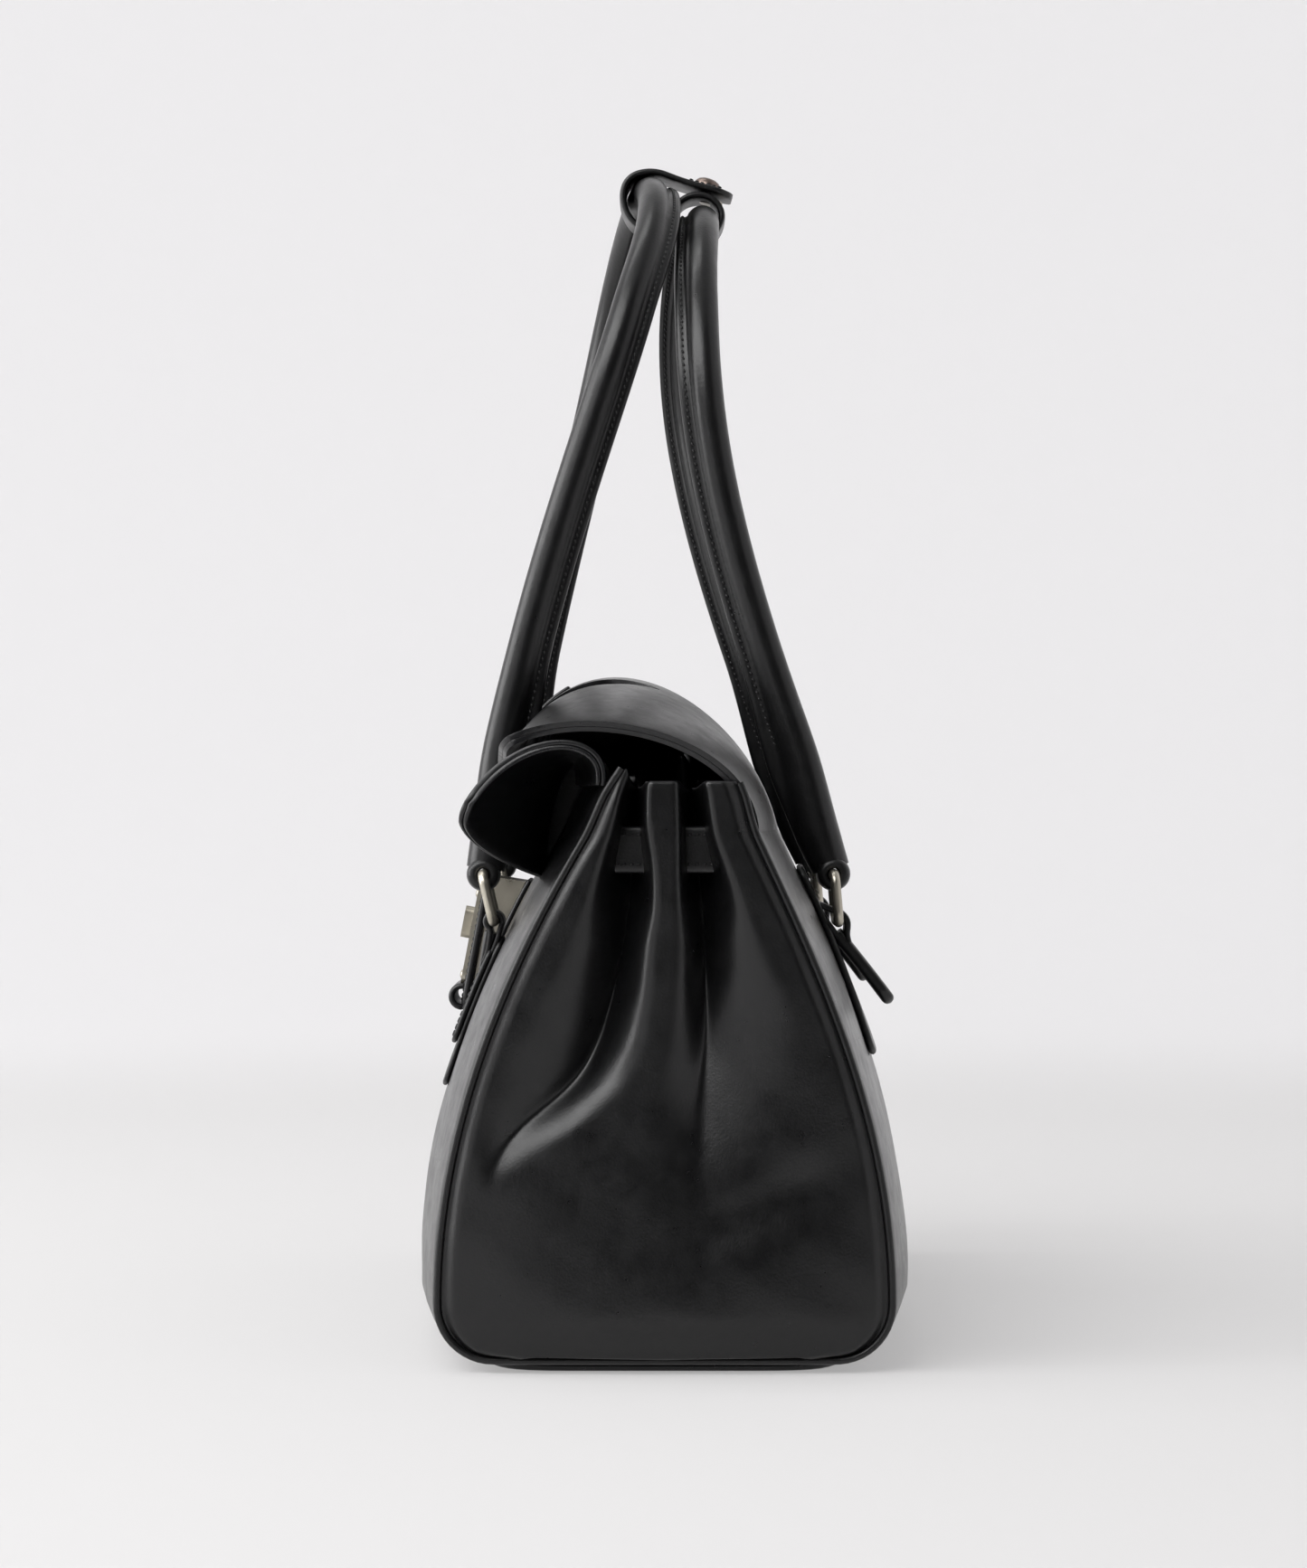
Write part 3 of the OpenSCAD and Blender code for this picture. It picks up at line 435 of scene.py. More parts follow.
def edge_paint(name, colour):
    # Brushed-on edge paint: a rounded, slightly shiny bead with faint laps.
    f = Finish(name)
    laps = f.noise(4, 2.0)
    settings = {"Base Color": colour, "IOR": 1.5}
    f.principled(settings, rough=f.span(0.26, 0.4, laps), bump=f.bump(0.3, 0.2, laps))


def waxed_thread(name, colour):
    # Waxed polyester thread: two plies, slightly shiny.
    f = Finish(name)
    bump = f.bump(0.4, 0.2, f.noise(0.5, 1.0))
    f.principled({"Base Color": colour, "Roughness": 0.5, "IOR": 1.5}, bump=bump)


def brushed_metal(name, bright, dull):
    # Plate on a cast fitting, nickel or bronze, brushed and handled: fine strokes, duller patches.
    f = Finish(name)
    patch = f.noise(9, 4.0)
    along = f.node("Mapping", {"Scale": (0.08, 1.0, 1.0), "Vector": f.place}).outputs[0]
    # Strokes of 0.05 mm, drawn at 0.4 mm so that they show.
    bump = f.bump(0.12, 0.1, f.noise(0.4, 2.0, place=along))
    f.principled({"Metallic": 1.0}, f.tone(bright, dull, patch), f.span(0.26, 0.44, patch), bump)


def twill_lining(name, warp, weft):
    # Cotton twill: slanting ribs 1.2 mm apart, dull.
    f = Finish(name)
    slanted = f.node("Mapping", {"Rotation": (0.6, 0.5, 0.4), "Vector": f.place}).outputs[0]
    settings = {"Scale": 1 / MM / 1.2 / 6.283, "Distortion": 0.6, "Vector": slanted}
    rib = f.node("TexWave", settings).outputs["Fac"]
    rough = f.span(0.75, 0.9, f.noise(3, 3.0))
    f.principled({"Sheen Weight": 0.15}, f.tone(warp, weft, rib), rough, f.bump(0.4, 0.3, rib))


def pressed_fibre(name, pale, deep, size):
    # Pressed board or cotton filling: mottled fibres, quite dull.
    f = Finish(name)
    fibre = f.noise(size, 6.0, 0.65)
    f.principled({"Roughness": 0.88}, tone=f.tone(pale, deep, fibre), bump=f.bump(0.3, 0.4, fibre))


def make_finishes(look):
    calf_leather("black_calf", look.leather, look.leather_worn, 0.32, 0.16)
    calf_leather("black_strap_calf", look.leather, look.leather_worn, 0.38, 0.24)
    edge_paint("painted_edge", look.edge)
    waxed_thread("waxed_thread", look.thread)
    brushed_metal("brushed_nickel", look.metal, look.metal_dull)
    brushed_metal("aged_bronze", linear("#8f827b"), linear("#66564f"))
    twill_lining("twill_lining", look.lining, look.lining_light)
    pressed_fibre("greyboard", linear("#7d705f"), linear("#5f5446"), 2.5)
    pressed_fibre("cotton_cord", linear("#b7a98c"), linear("#8f8168"), 1.5)


# Stitches


def stitch_tree(name, finish):
    """A node tree that lays one stitch on each point, along the thread and flat on the leather."""
    tree = bpy.data.node_groups.new(name, "GeometryNodeTree")
    floats = [(label, "INPUT", "Float") for label in ("Length", "Thread", "Slant")]
    for label, way, kind in [("Geometry", "INPUT", "Geometry"), *floats, ("Geometry", "OUTPUT", "Geometry")]:
        tree.interface.new_socket(label, in_out=way, socket_type="NodeSocket" + kind)
    given = add(tree, "NodeGroupInput").outputs

    def step(kind, settings):
        return add(tree, kind, settings).outputs[0]

    along, face = (
        step("GeometryNodeInputNamedAttribute", {"data_type": "FLOAT_VECTOR", "Name": label})
        for label in ("along", "face")
    )
    lying = step("FunctionNodeAlignRotationToVector", {"axis": "X", "Vector": along})
    flat = {"axis": "Z", "pivot_axis": "X", "Rotation": lying, "Vector": face}
    flat = step("FunctionNodeAlignRotationToVector", flat)
    turn = step("FunctionNodeEulerToRotation", {0: step("ShaderNodeCombineXYZ", {"Z": given["Slant"]})})
    aim = {"rotation_space": "LOCAL", "Rotation": flat, "Rotate By": turn}
    aim = step("FunctionNodeRotateRotation", aim)
    bead = step("GeometryNodeMeshUVSphere", {"Segments": 6, "Rings": 4, "Radius": 0.5})
    size = {"X": given["Length"], "Y": given["Thread"], "Z": given["Thread"]}
    size = step("ShaderNodeCombineXYZ", size)
    spread = {"Points": given["Geometry"], "Instance": bead, "Rotation": aim, "Scale": size}
    real = step("GeometryNodeRealizeInstances", {"Geometry": step("GeometryNodeInstanceOnPoints", spread)})
    dyed = step("GeometryNodeSetMaterial", {"Material": bpy.data.materials[finish], "Geometry": real})
    add(tree, "NodeGroupOutput", {"Geometry": dyed})
    return tree


def stitches(name, rows, body, sizes):
    """One piece of thread for a body; a row is the points, their directions and the faces they lie on."""
    points, along, face = (np.concatenate(part) for part in zip(*rows))
    mesh = bpy.data.meshes.new(name)
    mesh.from_pydata((points * MM).tolist(), [], [])
    for label, values in (("along", along), ("face", face)):
        data = mesh.attributes.new(label, "FLOAT_VECTOR", "POINT")
        data.data.foreach_set("vector", values.astype(np.float32).ravel())
    obj = placed(name, mesh)
    tree = bpy.data.node_groups.get("stitch_row") or stitch_tree("stitch_row", "waxed_thread")
    mod = obj.modifiers.new("stitches", "NODES")
    mod.node_group = tree
    values = {"Length": sizes.stitch_length, "Thread": sizes.thread, "Slant": sizes.stitch_slant}
    for item in tree.interface.items_tree:
        if item.in_out == "INPUT" and item.name in values:
            mod[item.identifier] = values[item.name]
    done = finished(obj)
    done.name = name
    settle(name, done, body, ())


def row_on(path, face, sizes):
    """A row of stitches along a path, with the face direction at each point or one for all."""
    p = paced(path, sizes.stitch_pitch / MM)
    d, e = lengths(path), lengths(p)
    f = np.broadcast_to(np.asarray(face, float), path.shape)
    f = np.stack([np.interp(e * d[-1] / e[-1], d, column) for column in f.T], -1)
    return p, unit(np.gradient(p, axis=0)), unit(f)


# The body


def panel_grid(s, top, off, cols=65, reach=HALF_LEN):
    x = np.linspace(-reach, reach, cols)
    low = [edge(s, a, off, x) for a in np.linspace(-90, -10, 9)]
    side = [skin(s, z, off + lie(s, x, z, top), x) for z in np.linspace(CORNER_Z, top, 34)]
    return np.array([xyz(x, p) for p in low + side])


# Lines down the folds: height, crest towards the front, deepest line, crest towards the back, depth.
FRONT_FOLD = np.array([
    [200, -13.6, -9.8, -5.6, 31], [184, -17.7, -11.0, -6.3, 28.5], [178, -19.7, -11.4, -6.2, 27.5],
    [168, -23.4, -11.4, -4.2, 25.5], [156, -27.6, -11.6, -3.6, 23.4], [141, -33.9, -13.6, -4.6, 21],
    [126, -41.4, -16.6, -5.4, 18.6], [111, -50.7, -21.0, -7.0, 16.2], [99, -58.5, -27.0, -11.5, 13.8],
    [91.5, -61.5, -34.0, -18.0, 11.4], [84, -62.5, -45.0, -25.5, 7.6], [76.5, -62.5, -53.0, -36.0, 4.0],
    [68, -62.5, -57.0, -48.0, 1.0], [62, -62.5, -58.0, -52.0, 0], [20, -62.5, -58.0, -52.0, 0],
])
BACK_FOLD = np.array([
    [200, 4.4, 9.6, 13.8, 33], [178, 5.1, 11.0, 17.4, 28.5], [168, 5.3, 11.6, 21.9, 26],
    [156, 5.4, 12.2, 26.7, 22.5], [141, 5.1, 12.8, 33.0, 18.5], [126, 3.9, 13.0, 40.0, 14.5],
    [111, 2.1, 13.0, 48.0, 10.6], [96, -2.0, 12.0, 52.0, 7.2], [78, -4.8, 11.0, 53.0, 3.6],
    [66, -5.7, 11.0, 53.0, 1.8], [52, -6.0, 12.0, 53.0, 0.6], [40, -6.0, 12.0, 53.0, 0],
    [20, -6.0, 12.0, 53.0, 0],
])


def evened(table):
    """The same lines at every millimetre of height, without corners."""
    z = np.arange(20.0, 201.0)
    kernel = np.hanning(13)
    cols = [z]
    for column in table[::-1, 1:].T:
        v = np.pad(np.interp(z, table[::-1, 0], column), 6, mode="edge")
        cols.append(np.convolve(v, kernel / kernel.sum(), "valid"))
    return np.array(cols)


# Each with the side on which its crest is rounder.
FOLDS = ((evened(FRONT_FOLD), -1), (evened(BACK_FOLD), 1))


def fold_in(lines, soft, y, z):
    """Depth of one fold; below it is sharp with round crests, and it opens towards the mouth."""
    front, centre, back, deep = (np.interp(z, lines[0], line) for line in lines[1:])
    d = y - centre
    u = np.clip(np.where(d < 0, d / (front - centre), d / (back - centre)), 0, 1)
    round_side = (d < 0) == (soft < 0)
    low = (1 - u) ** np.where(round_side, 1.9, 1.5)
    high = np.where(round_side, 0.5 + 0.5 * np.cos(math.pi * u), 1 - u ** 3)
    return deep * mix(low, high, smooth((z - 142) / 28))


def folds_in(y, z):
    return sum(fold_in(lines, soft, y, z) for lines, soft in FOLDS)


def blurred(v, rounds):
    for _ in range(rounds):
        for axis in (0, 1):
            q = np.pad(v, [(1, 1) if k == axis else (0, 0) for k in (0, 1)], mode="edge")
            lo, hi = (q[:-2], q[2:]) if axis == 0 else (q[:, :-2], q[:, 2:])
            v = 0.5 * v + 0.25 * (lo + hi)
    return v


def gusset_depth(y, z, depth):
    """How far a gusset's face lies behind the seam: two folds, a soft belly below, a slack crease."""
    belly = 7.5 * np.clip(1 - (y / 74) ** 2, 0, 1) * np.exp(-(((z - 18) / 48) ** 2)) * smooth(z / 18)
    # The crease starts in a dimple and runs up towards the back.
    y0, z0 = y + 5, z - 38
    dimple = 0.8 * np.exp(-((y0 / 24) ** 2) - ((z0 / 14) ** 2))
    along, aside = y0 * 0.905 + z0 * 0.426, z0 * 0.905 - y0 * 0.426
    crease = 1.7 * np.exp(-((aside / 9) ** 2)) * smooth(along / 30) * smooth((84 - along) / 30)
    slack = 0.2 * np.sin(y / 6.1 + z / 9.7) * np.sin(z / 7.3)
    return folds_in(y, z) * depth - belly + dimple + crease + slack


def gusset_grid(e, back, inset, depth, rows=150, cols=161, top=PANEL_TOP, groove=1.8, corner=4.8, dip=0.0):
    foot = 3.0 + inset
    u = np.linspace(-1, 1, cols)
    k, u = grid(np.linspace(0, 1, rows), 0.6 * u + 0.4 * np.sin(u * math.pi / 2))

    def across(z):
        return u * np.where(u < 0, inner_half(-1, z, inset), inner_half(1, z, inset))

    z = foot + (top - foot + corner * smooth((-u - 0.4) / 0.5)) * k
    y = across(z)
    # At the mouth the folds' bottoms stand lower than their crests, or higher where the flap lies on them.
    z = z - dip * (1 - 0.02 * y) * k ** 9 * folds_in(y, z) / FOLD_FULL
    y = across(z)
    edge_in = 1 - np.abs(u)
    rim = np.minimum(edge_in * np.abs(inner_half(1, z, inset)), z - foot + 24 * edge_in)
    deep = blurred(gusset_depth(y, z, depth), 8)
    x = SEAM_X - back - deep * smooth(rim / 5.0) - groove * (1 - smooth(rim / 4.4))
    return np.stack([e * x, y, z], -1)


class BAG_OT_panels(bpy.types.Operator):
    """Front, back and base panels of leather, lofted and slightly uneven"""
    bl_idname = "bag.panels"
    bl_label = "Panels"

    def execute(self, context):
        t = context.scene.bag_sizes.leather / MM / 2
        for s, top, name in ((-1, PANEL_TOP, "front_panel"), (1, BACK_TOP, "back_panel")):
            dress(name, Shape().sheet(panel_grid(s, top, -t), -t, t, rim=1), CALF)
        x, y = grid(np.linspace(-1, 1, 61), np.linspace(-1, 1, 31))
        square = np.maximum((x ** 8 + y ** 8) ** 0.125, 1e-6)
        rim = np.maximum(np.abs(x), np.abs(y)) / square
        t = BASE_T / 2
        base = np.stack([BASE_X * x * rim, BASE_Y * y * rim, np.full_like(x, t)], -1)
        dress("base_panel", Shape().sheet(base, -t, t, rim=1), STRAP)
        return {"FINISHED"}


class BAG_OT_gussets(bpy.types.Operator):
    """The two folded end panels"""
    bl_idname = "bag.gussets"
    bl_label = "Gussets"

    def execute(self, context):
        depth = context.scene.bag_sizes.fold_depth / MM / FOLD_FULL
        t = GUSSET_T / 2
        for (e, side), up, corner, dip in zip(ENDS, (0.0, 1.6), (4.8, 2.2), (3.0, -12.6)):
            folded = gusset_grid(e, t, 3.1, depth, top=PANEL_TOP + up, corner=corner, dip=dip)
            dress(f"{side}_gusset", Shape().sheet(folded, -t, t, rim=1), CALF)
        return {"FINISHED"}


class BAG_OT_piping(bpy.types.Operator):
    """Leather piping along the gusset seams"""
    bl_idname = "bag.piping"
    bl_label = "Piping"

    def execute(self, context):
        r = context.scene.bag_sizes.piping / MM / 2
        run = []
        for s, top in ((-1, PANEL_TOP + 6), (1, PANEL_TOP + 1)):
            low = edge(s, np.linspace(-88, -6, 14), -r, HALF_LEN)
            half_run = np.concatenate([low, skin(s, np.linspace(CORNER_Z, top, 40), -r, HALF_LEN)])
            run.append(half_run[::s])
        run = np.concatenate(run)
        section = r * turned(circle(14))
        for e, side in ENDS:
            shape = Shape().sweep(paced(xyz(e * (HALF_LEN + r), run), 2.5), section, ALONG_X)
            dress(f"{side}_piping", shape, PLAIN)
        return {"FINISHED"}


class BAG_OT_lining(bpy.types.Operator):
    """The twill lining, sewn in below the mouth, and the board under it"""
    bl_idname = "bag.lining"
    bl_label = "Lining"

    def execute(self, context):
        depth = context.scene.bag_sizes.fold_depth / MM / FOLD_FULL
        t = LINING_T / 2
        front, back = (panel_grid(s, LINING_TOP, -LINING_IN, 49, LINING_X) for s in SIDES)
        shape = Shape().sheet(np.concatenate([front[::-1], back]), -t, t)
        body = dress("lining_body", shape, ("twill_lining",), kind="twill")
        shape = Shape()
        for e in SIDES:
            shape.sheet(gusset_grid(e, 4.4, 5.2, depth, 60, 81, LINING_TOP, 0.0, 0.0), -t, t)
        ends = dress("lining_ends", shape, ("twill_lining",), kind="twill")
        # Two pieces, cut side by side.
        coat("base_board", finish="greyboard")
        return {"FINISHED"}


class BAG_OT_belts(bpy.types.Operator):
    """The strap that runs through the folds of each gusset"""
    bl_idname = "bag.belts"
    bl_label = "Gusset belts"

    def execute(self, context):
        sizes = context.scene.bag_sizes
        rows = []
        t = BELT_T / 2
        front, back = (half(s, BELT_HIGH) - 5.2 for s in SIDES)
        z, y = grid(np.linspace(BELT_LOW + t, BELT_HIGH - t, 9), np.linspace(-front, back, 40))
        x = BELT_X + 0.5 * np.sin(y / 9.0)
        for e, side in ENDS:
            belt = Shape().sheet(np.stack([e * x, y, z], -1), -t, t, rim=1)
            dress(f"{side}_belt", belt, STRAP, kind="strap")
            for k in (1, -2):
                path = np.stack([e * (x[k] + t + 0.1), y[k], z[k]], -1)
                rows.append(row_on(path, (e, 0, 0), sizes))
        stitches("belt_stitches", rows, "bag_body", sizes)
        return {"FINISHED"}


# Lapel and flap


def lapel(x, t):
    """A point of the lapel, t from its root at the panel's top over the fold to its hem."""
    x, t = np.broadcast_arrays(np.asarray(x, float), np.asarray(t, float))
    root, hug = skin(-1, PANEL_TOP, 0.0, x), skin(-1, HEM_Z, 1.2, x)
    away = np.clip((HALF_LEN - np.abs(x)) / FLARE_LEN, 0, 1)
    drop = 2 * smooth((1 + away) / 2) - 1
    hem = yz(mix(FLARE[0], hug[..., 0], smooth(away) ** 1.2), mix(FLARE[1], hug[..., 1], drop))
    flare = smooth(1 - away)
    full = flare * np.where(x > 0, 1.0, LEFT_FULL)
    y, z = root[..., 0], PANEL_TOP + LAPEL_RISE
    lift = yz(y + 1 + 1.6 * full, z - 1 + 5.5 * full)
    over = mix(yz(y - 15, z), yz(y - 24 - 10.4 * full, z + 1 + 3 * full), flare[..., None])
    return xyz(x, bezier(root, lift, over, hem, t))


class BAG_OT_lapel(bpy.types.Operator):
    """The doubled top of the front panel, folded forward with flared corners"""
    bl_idname = "bag.lapel"
    bl_label = "Lapel"

    def execute(self, context):
        ends = HALF_LEN - np.array([0, 0.15, 0.6, 1.4, 2.5, 4.0, 6.0, 8.5])
        x = np.concatenate([-ends, np.linspace(-STAY_X, STAY_X, 81), ends[::-1]])
        t, x = grid(np.linspace(0, 1, 44), x)
        p = lapel(x, t * (0.95 + 0.05 * round_end(HALF_LEN - np.abs(x), 5.0)))[:, ::-1]
        shape = Shape().sheet(p, -1.8, -0.05, rim=1).sheet(p, -3.5, -1.9, rim=1)
        # A facing inside each end, where the fold is sewn down.
        k = np.linspace(0, 1, 8)[:, None, None]
        for e in SIDES:
            outer = lapel(e * FACING_X, np.linspace(0.03, 0.97, 30))[:, 1:] + np.array([2.5, -2.0])
            inner = skin(-1, np.clip(outer[:, 1], HEM_Z, PANEL_TOP - 1), 0.1, FACING_X)
            shape.sheet(xyz(e * FACING_X, mix(outer[None], inner[None], k)), -0.8, 0.8)
        # A stay inside the left end, where the flap comes to rest on it.
        t, x = grid(np.linspace(0, 0.36, 16), np.linspace(0.3 - HALF_LEN, -STAY_X, 8))
        shape.sheet(lapel(x, t)[:, ::-1], 0.1, 2.6)
        dress("front_lapel", shape, CALF)
        return {"FINISHED"}


def flap(x, t):
    """A point of the flap, t from its seam on the back over the crown to its front edge."""
    x, t = np.broadcast_arrays(np.asarray(x, float), np.asarray(t, float))
    crown = (np.maximum(0.0, 1 - np.abs(x / HALF_LEN) ** 2.4) ** 0.9)[..., None]
    root = skin(1, BACK_TOP, 0.0, x)
    q = root + mix(np.array([-2.36, 35.4]), np.array([-11.8, 51.92]), crown)
    r = mix(np.array([-31.9, LOBE[1] + 14.3]), np.array([-38.06, FRONT[1] + 69.97]), crown)
    p = bezier(root, q, r, mix(np.array(LOBE), np.array(FRONT), crown), t)
    # The left end sags, and comes to rest on the lapel.
    rest = 0.3 * smooth((t - 0.66) / 0.12) * smooth((1 - t) / 0.2)
    sag = smooth((t - 0.2) / 0.3) * smooth((0.79 - t) / 0.26) + rest
    p[..., 1] -= LEFT_SAG * np.maximum(0.0, (-x / HALF_LEN - 0.4) / 0.6) ** 2 * sag
    return xyz(x, p)


def flap_grid(off):
    """Points of the flap, the row where its slots start and the columns that part around them."""
    rows = np.concatenate([np.linspace(0, 0.42, 17)[:-1], np.linspace(0.42, 1, 33)])
    wing = np.concatenate([[0, 0.003, 0.01, 0.022, 0.04, 0.065, 0.095], np.linspace(0.13, 1, 15)])
    middle = np.linspace(-1, 1, 37)
    leg_line = flap(LEG_X, rows)[:, 1]
    points = []
    for t, y in zip(rows, leg_line):
        w = SLOT_TIP + (SLOT_HALF - SLOT_TIP) * np.clip((SLOT_ROOT - y) / SLOT_TAPER, 0, 1) ** 0.8
        side = mix(HALF_LEN, LEG_X + w, wing)
        x = np.concatenate([-side, (LEG_X - w) * middle, side[::-1]])
        short = 0.045 * smooth((t - 0.6) / 0.4) * (1 - round_end(HALF_LEN - np.abs(x), 9.0))
        points.append(flap(x, t * (1 - short)))
    points = np.array(points)
    n = unit(np.cross(np.gradient(points, axis=0), np.gradient(points, axis=1)))
    return points + off * n, int(np.argmax(leg_line < SLOT_ROOT)), (len(wing), len(wing) + len(middle))


class BAG_OT_flap(bpy.types.Operator):
    """The flap, one doubled sheet from the back seam to three lobes at the front"""
    bl_idname = "bag.flap"
    bl_label = "Flap"

    def execute(self, context):
        bm = bmesh.new()
        for off, thick in ((0.0, 1.9), (-2.0, 1.7)):
            points, cut, slots = flap_grid(off)
            shape = Shape()
            ids = shape.put(points)
            for part in (ids[:cut + 1], *np.split(ids[cut:], slots, axis=1)):
                shape.quads(part[:, ::-1])
            layer = placed("flap_layer", shape.mesh("flap_layer", CALF))
            wall = layer.modifiers.new("wall", "SOLIDIFY")
            wall.thickness, wall.offset, wall.material_offset_rim = thick * MM, -1.0, 1
            rim = layer.modifiers.new("rim", "BEVEL")
            rim.width, rim.segments = 0.7 * MM, 3
            rim.limit_method, rim.angle_limit = "ANGLE", math.radians(60)
            bm.from_mesh(finished(layer))
        whole = bpy.data.meshes.new("flap_calf")
        bm.to_mesh(whole)
        bm.free()
        for finish in CALF:
            whole.materials.append(bpy.data.materials[finish])
        obj = settle("flap_calf", whole, None, ("flap_root", "flap_front"))
        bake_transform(obj)
        return {"FINISHED"}


# Tongue and lock


def tongue(x, along, off):
    s, c = math.sin(TONGUE_LEAN), math.cos(TONGUE_LEAN)
    return xyz(x, yz(TONGUE_Y + along * s - off * c, TONGUE_Z + along * c + off * s))


def rounded_loop(w, low, high, r, n=16):
    """Points around a rounded rectangle, from -w to w and from low to high, n for each corner."""
    corners = ((w - r, high - r), (r - w, high - r), (r - w, low + r), (w - r, low + r))
    turns = [np.radians(90 * k + np.linspace(0, 90, n)) for k in range(4)]
    return np.concatenate([c + r * turned(q) for c, q in zip(corners, turns)])


class BAG_OT_tongue(bpy.types.Operator):
    """The tongue strap with its pull, its root on the flap and the patch behind the lock"""
    bl_idname = "bag.tongue"
    bl_label = "Tongue"

    def execute(self, context):
        sizes = context.scene.bag_sizes
        outer = rounded_loop(TONGUE_W / 2 - 1.3, 1.3 - TONGUE_LEN, -0.2, 6)
        inner = rounded_loop(4.4, -LOCK_DROP - 15.3, 8.1 - LOCK_DROP, 1.6)
        x, along = np.moveaxis(mix(outer, inner, np.linspace(0, 1, 9)[:, None, None]), -1, 0)
        shape = Shape().sheet(tongue(x, along, -1.5)[:, ::-1], -1.3, 1.3, rim=1, wrap=True)
        dress("tongue_strap", shape, STRAP, "tongue")
        line = rounded_loop(TONGUE_W / 2 - 3.6, 3.6 - TONGUE_LEN, -4.0, 5)
        path = tongue(*np.concatenate([line, line[:1]]).T, -0.15)
        face = (0, -math.cos(TONGUE_LEAN), math.sin(TONGUE_LEAN))
        stitches("tongue_stitches", [row_on(path, face, sizes)], "tongue", sizes)
        x, q = grid(np.linspace(-14.6, 14.6, 15), np.radians(np.linspace(-8, 188, 24)))
        roll = tongue(x, 5.0 - TONGUE_LEN + 3.9 * np.cos(q), 3.9 * np.sin(q))
        dress("tongue_pull", Shape().sheet(roll, -1.1, 1.1, rim=1), STRAP, "tongue")
        t, x = grid(np.linspace(0.74, 0.995, 22), np.linspace(-16.5, 16.5, 15))
        make("tongue_root_calf", Shape().sheet(flap(x, t)[:, ::-1], 0.1, 1.5, rim=1), STRAP, "flap")
        z, x = grid(np.linspace(103, 159, 22), np.linspace(-19, 19, 15))
        dress("lock_patch", Shape().sheet(xyz(x, skin(-1, z, 1.2, 0.0)), -0.95, 0.95, rim=1), STRAP)
        coat("hasp_plate", "hasp_rivets", "lock_body", "lock_screws", "lock_toggle")
        return {"FINISHED"}


# Rings, chapes and handles


def low_bar(s):
    return skin(s, RING_Z, RING_OFF, LEG_X)


def top_bar(s):
    a = math.radians(RING_LEAN[s])
    return low_bar(s) + RING_PITCH * np.array([s * math.sin(a), math.cos(a)])


def strap_on(shape, s, e, low, high, off, thick):
    """A strap 15 mm wide that lies on a panel beside a handle's leg, with round ends."""
    tip = 4 * (1 - np.cos(np.linspace(0, math.pi / 2, 7)))
    z = np.concatenate([low + tip, np.linspace(low + 6, high - 6, 20), high - tip[::-1]])
    w = 7.5 * (0.45 + 0.55 * round_end(np.minimum(z - low, high - z), 4))
    x = e * LEG_X + w[:, None] * np.linspace(-1, 1, 9)
    z = np.broadcast_to(z[:, None], x.shape)
    p = xyz(x, skin(s, z, off + lie(s, x, z, PANEL_TOP if s < 0 else BACK_TOP), x))
    shape.sheet(p if s < 0 else p[:, ::-1], -thick, thick)


# The back chapes' loop and tail: distance from the ring's bar down the strap, and in towards the panel.
CHAPE_LOOP = (
    (4.0, 3.2), (-2.0, 3.3), (-8.0, 3.0), (-9.0, 1.6), (-6.0, 0.2), (-3.0, -2.2), (-1.2, -3.1), (1.2, -3.1),
    (3.0, -2.2), (5.5, 0.2), (8.0, 1.2),
)
CHAPE_TAIL = ((3.0, 2.6), (9.0, 2.3), (16.0, 2.0), (24.0, 1.7), (34.5, 1.5))
DOWN_AND_IN = np.array([[0.588, -0.809], [-0.809, -0.588]])
BLUNT = math.sqrt(0.02)


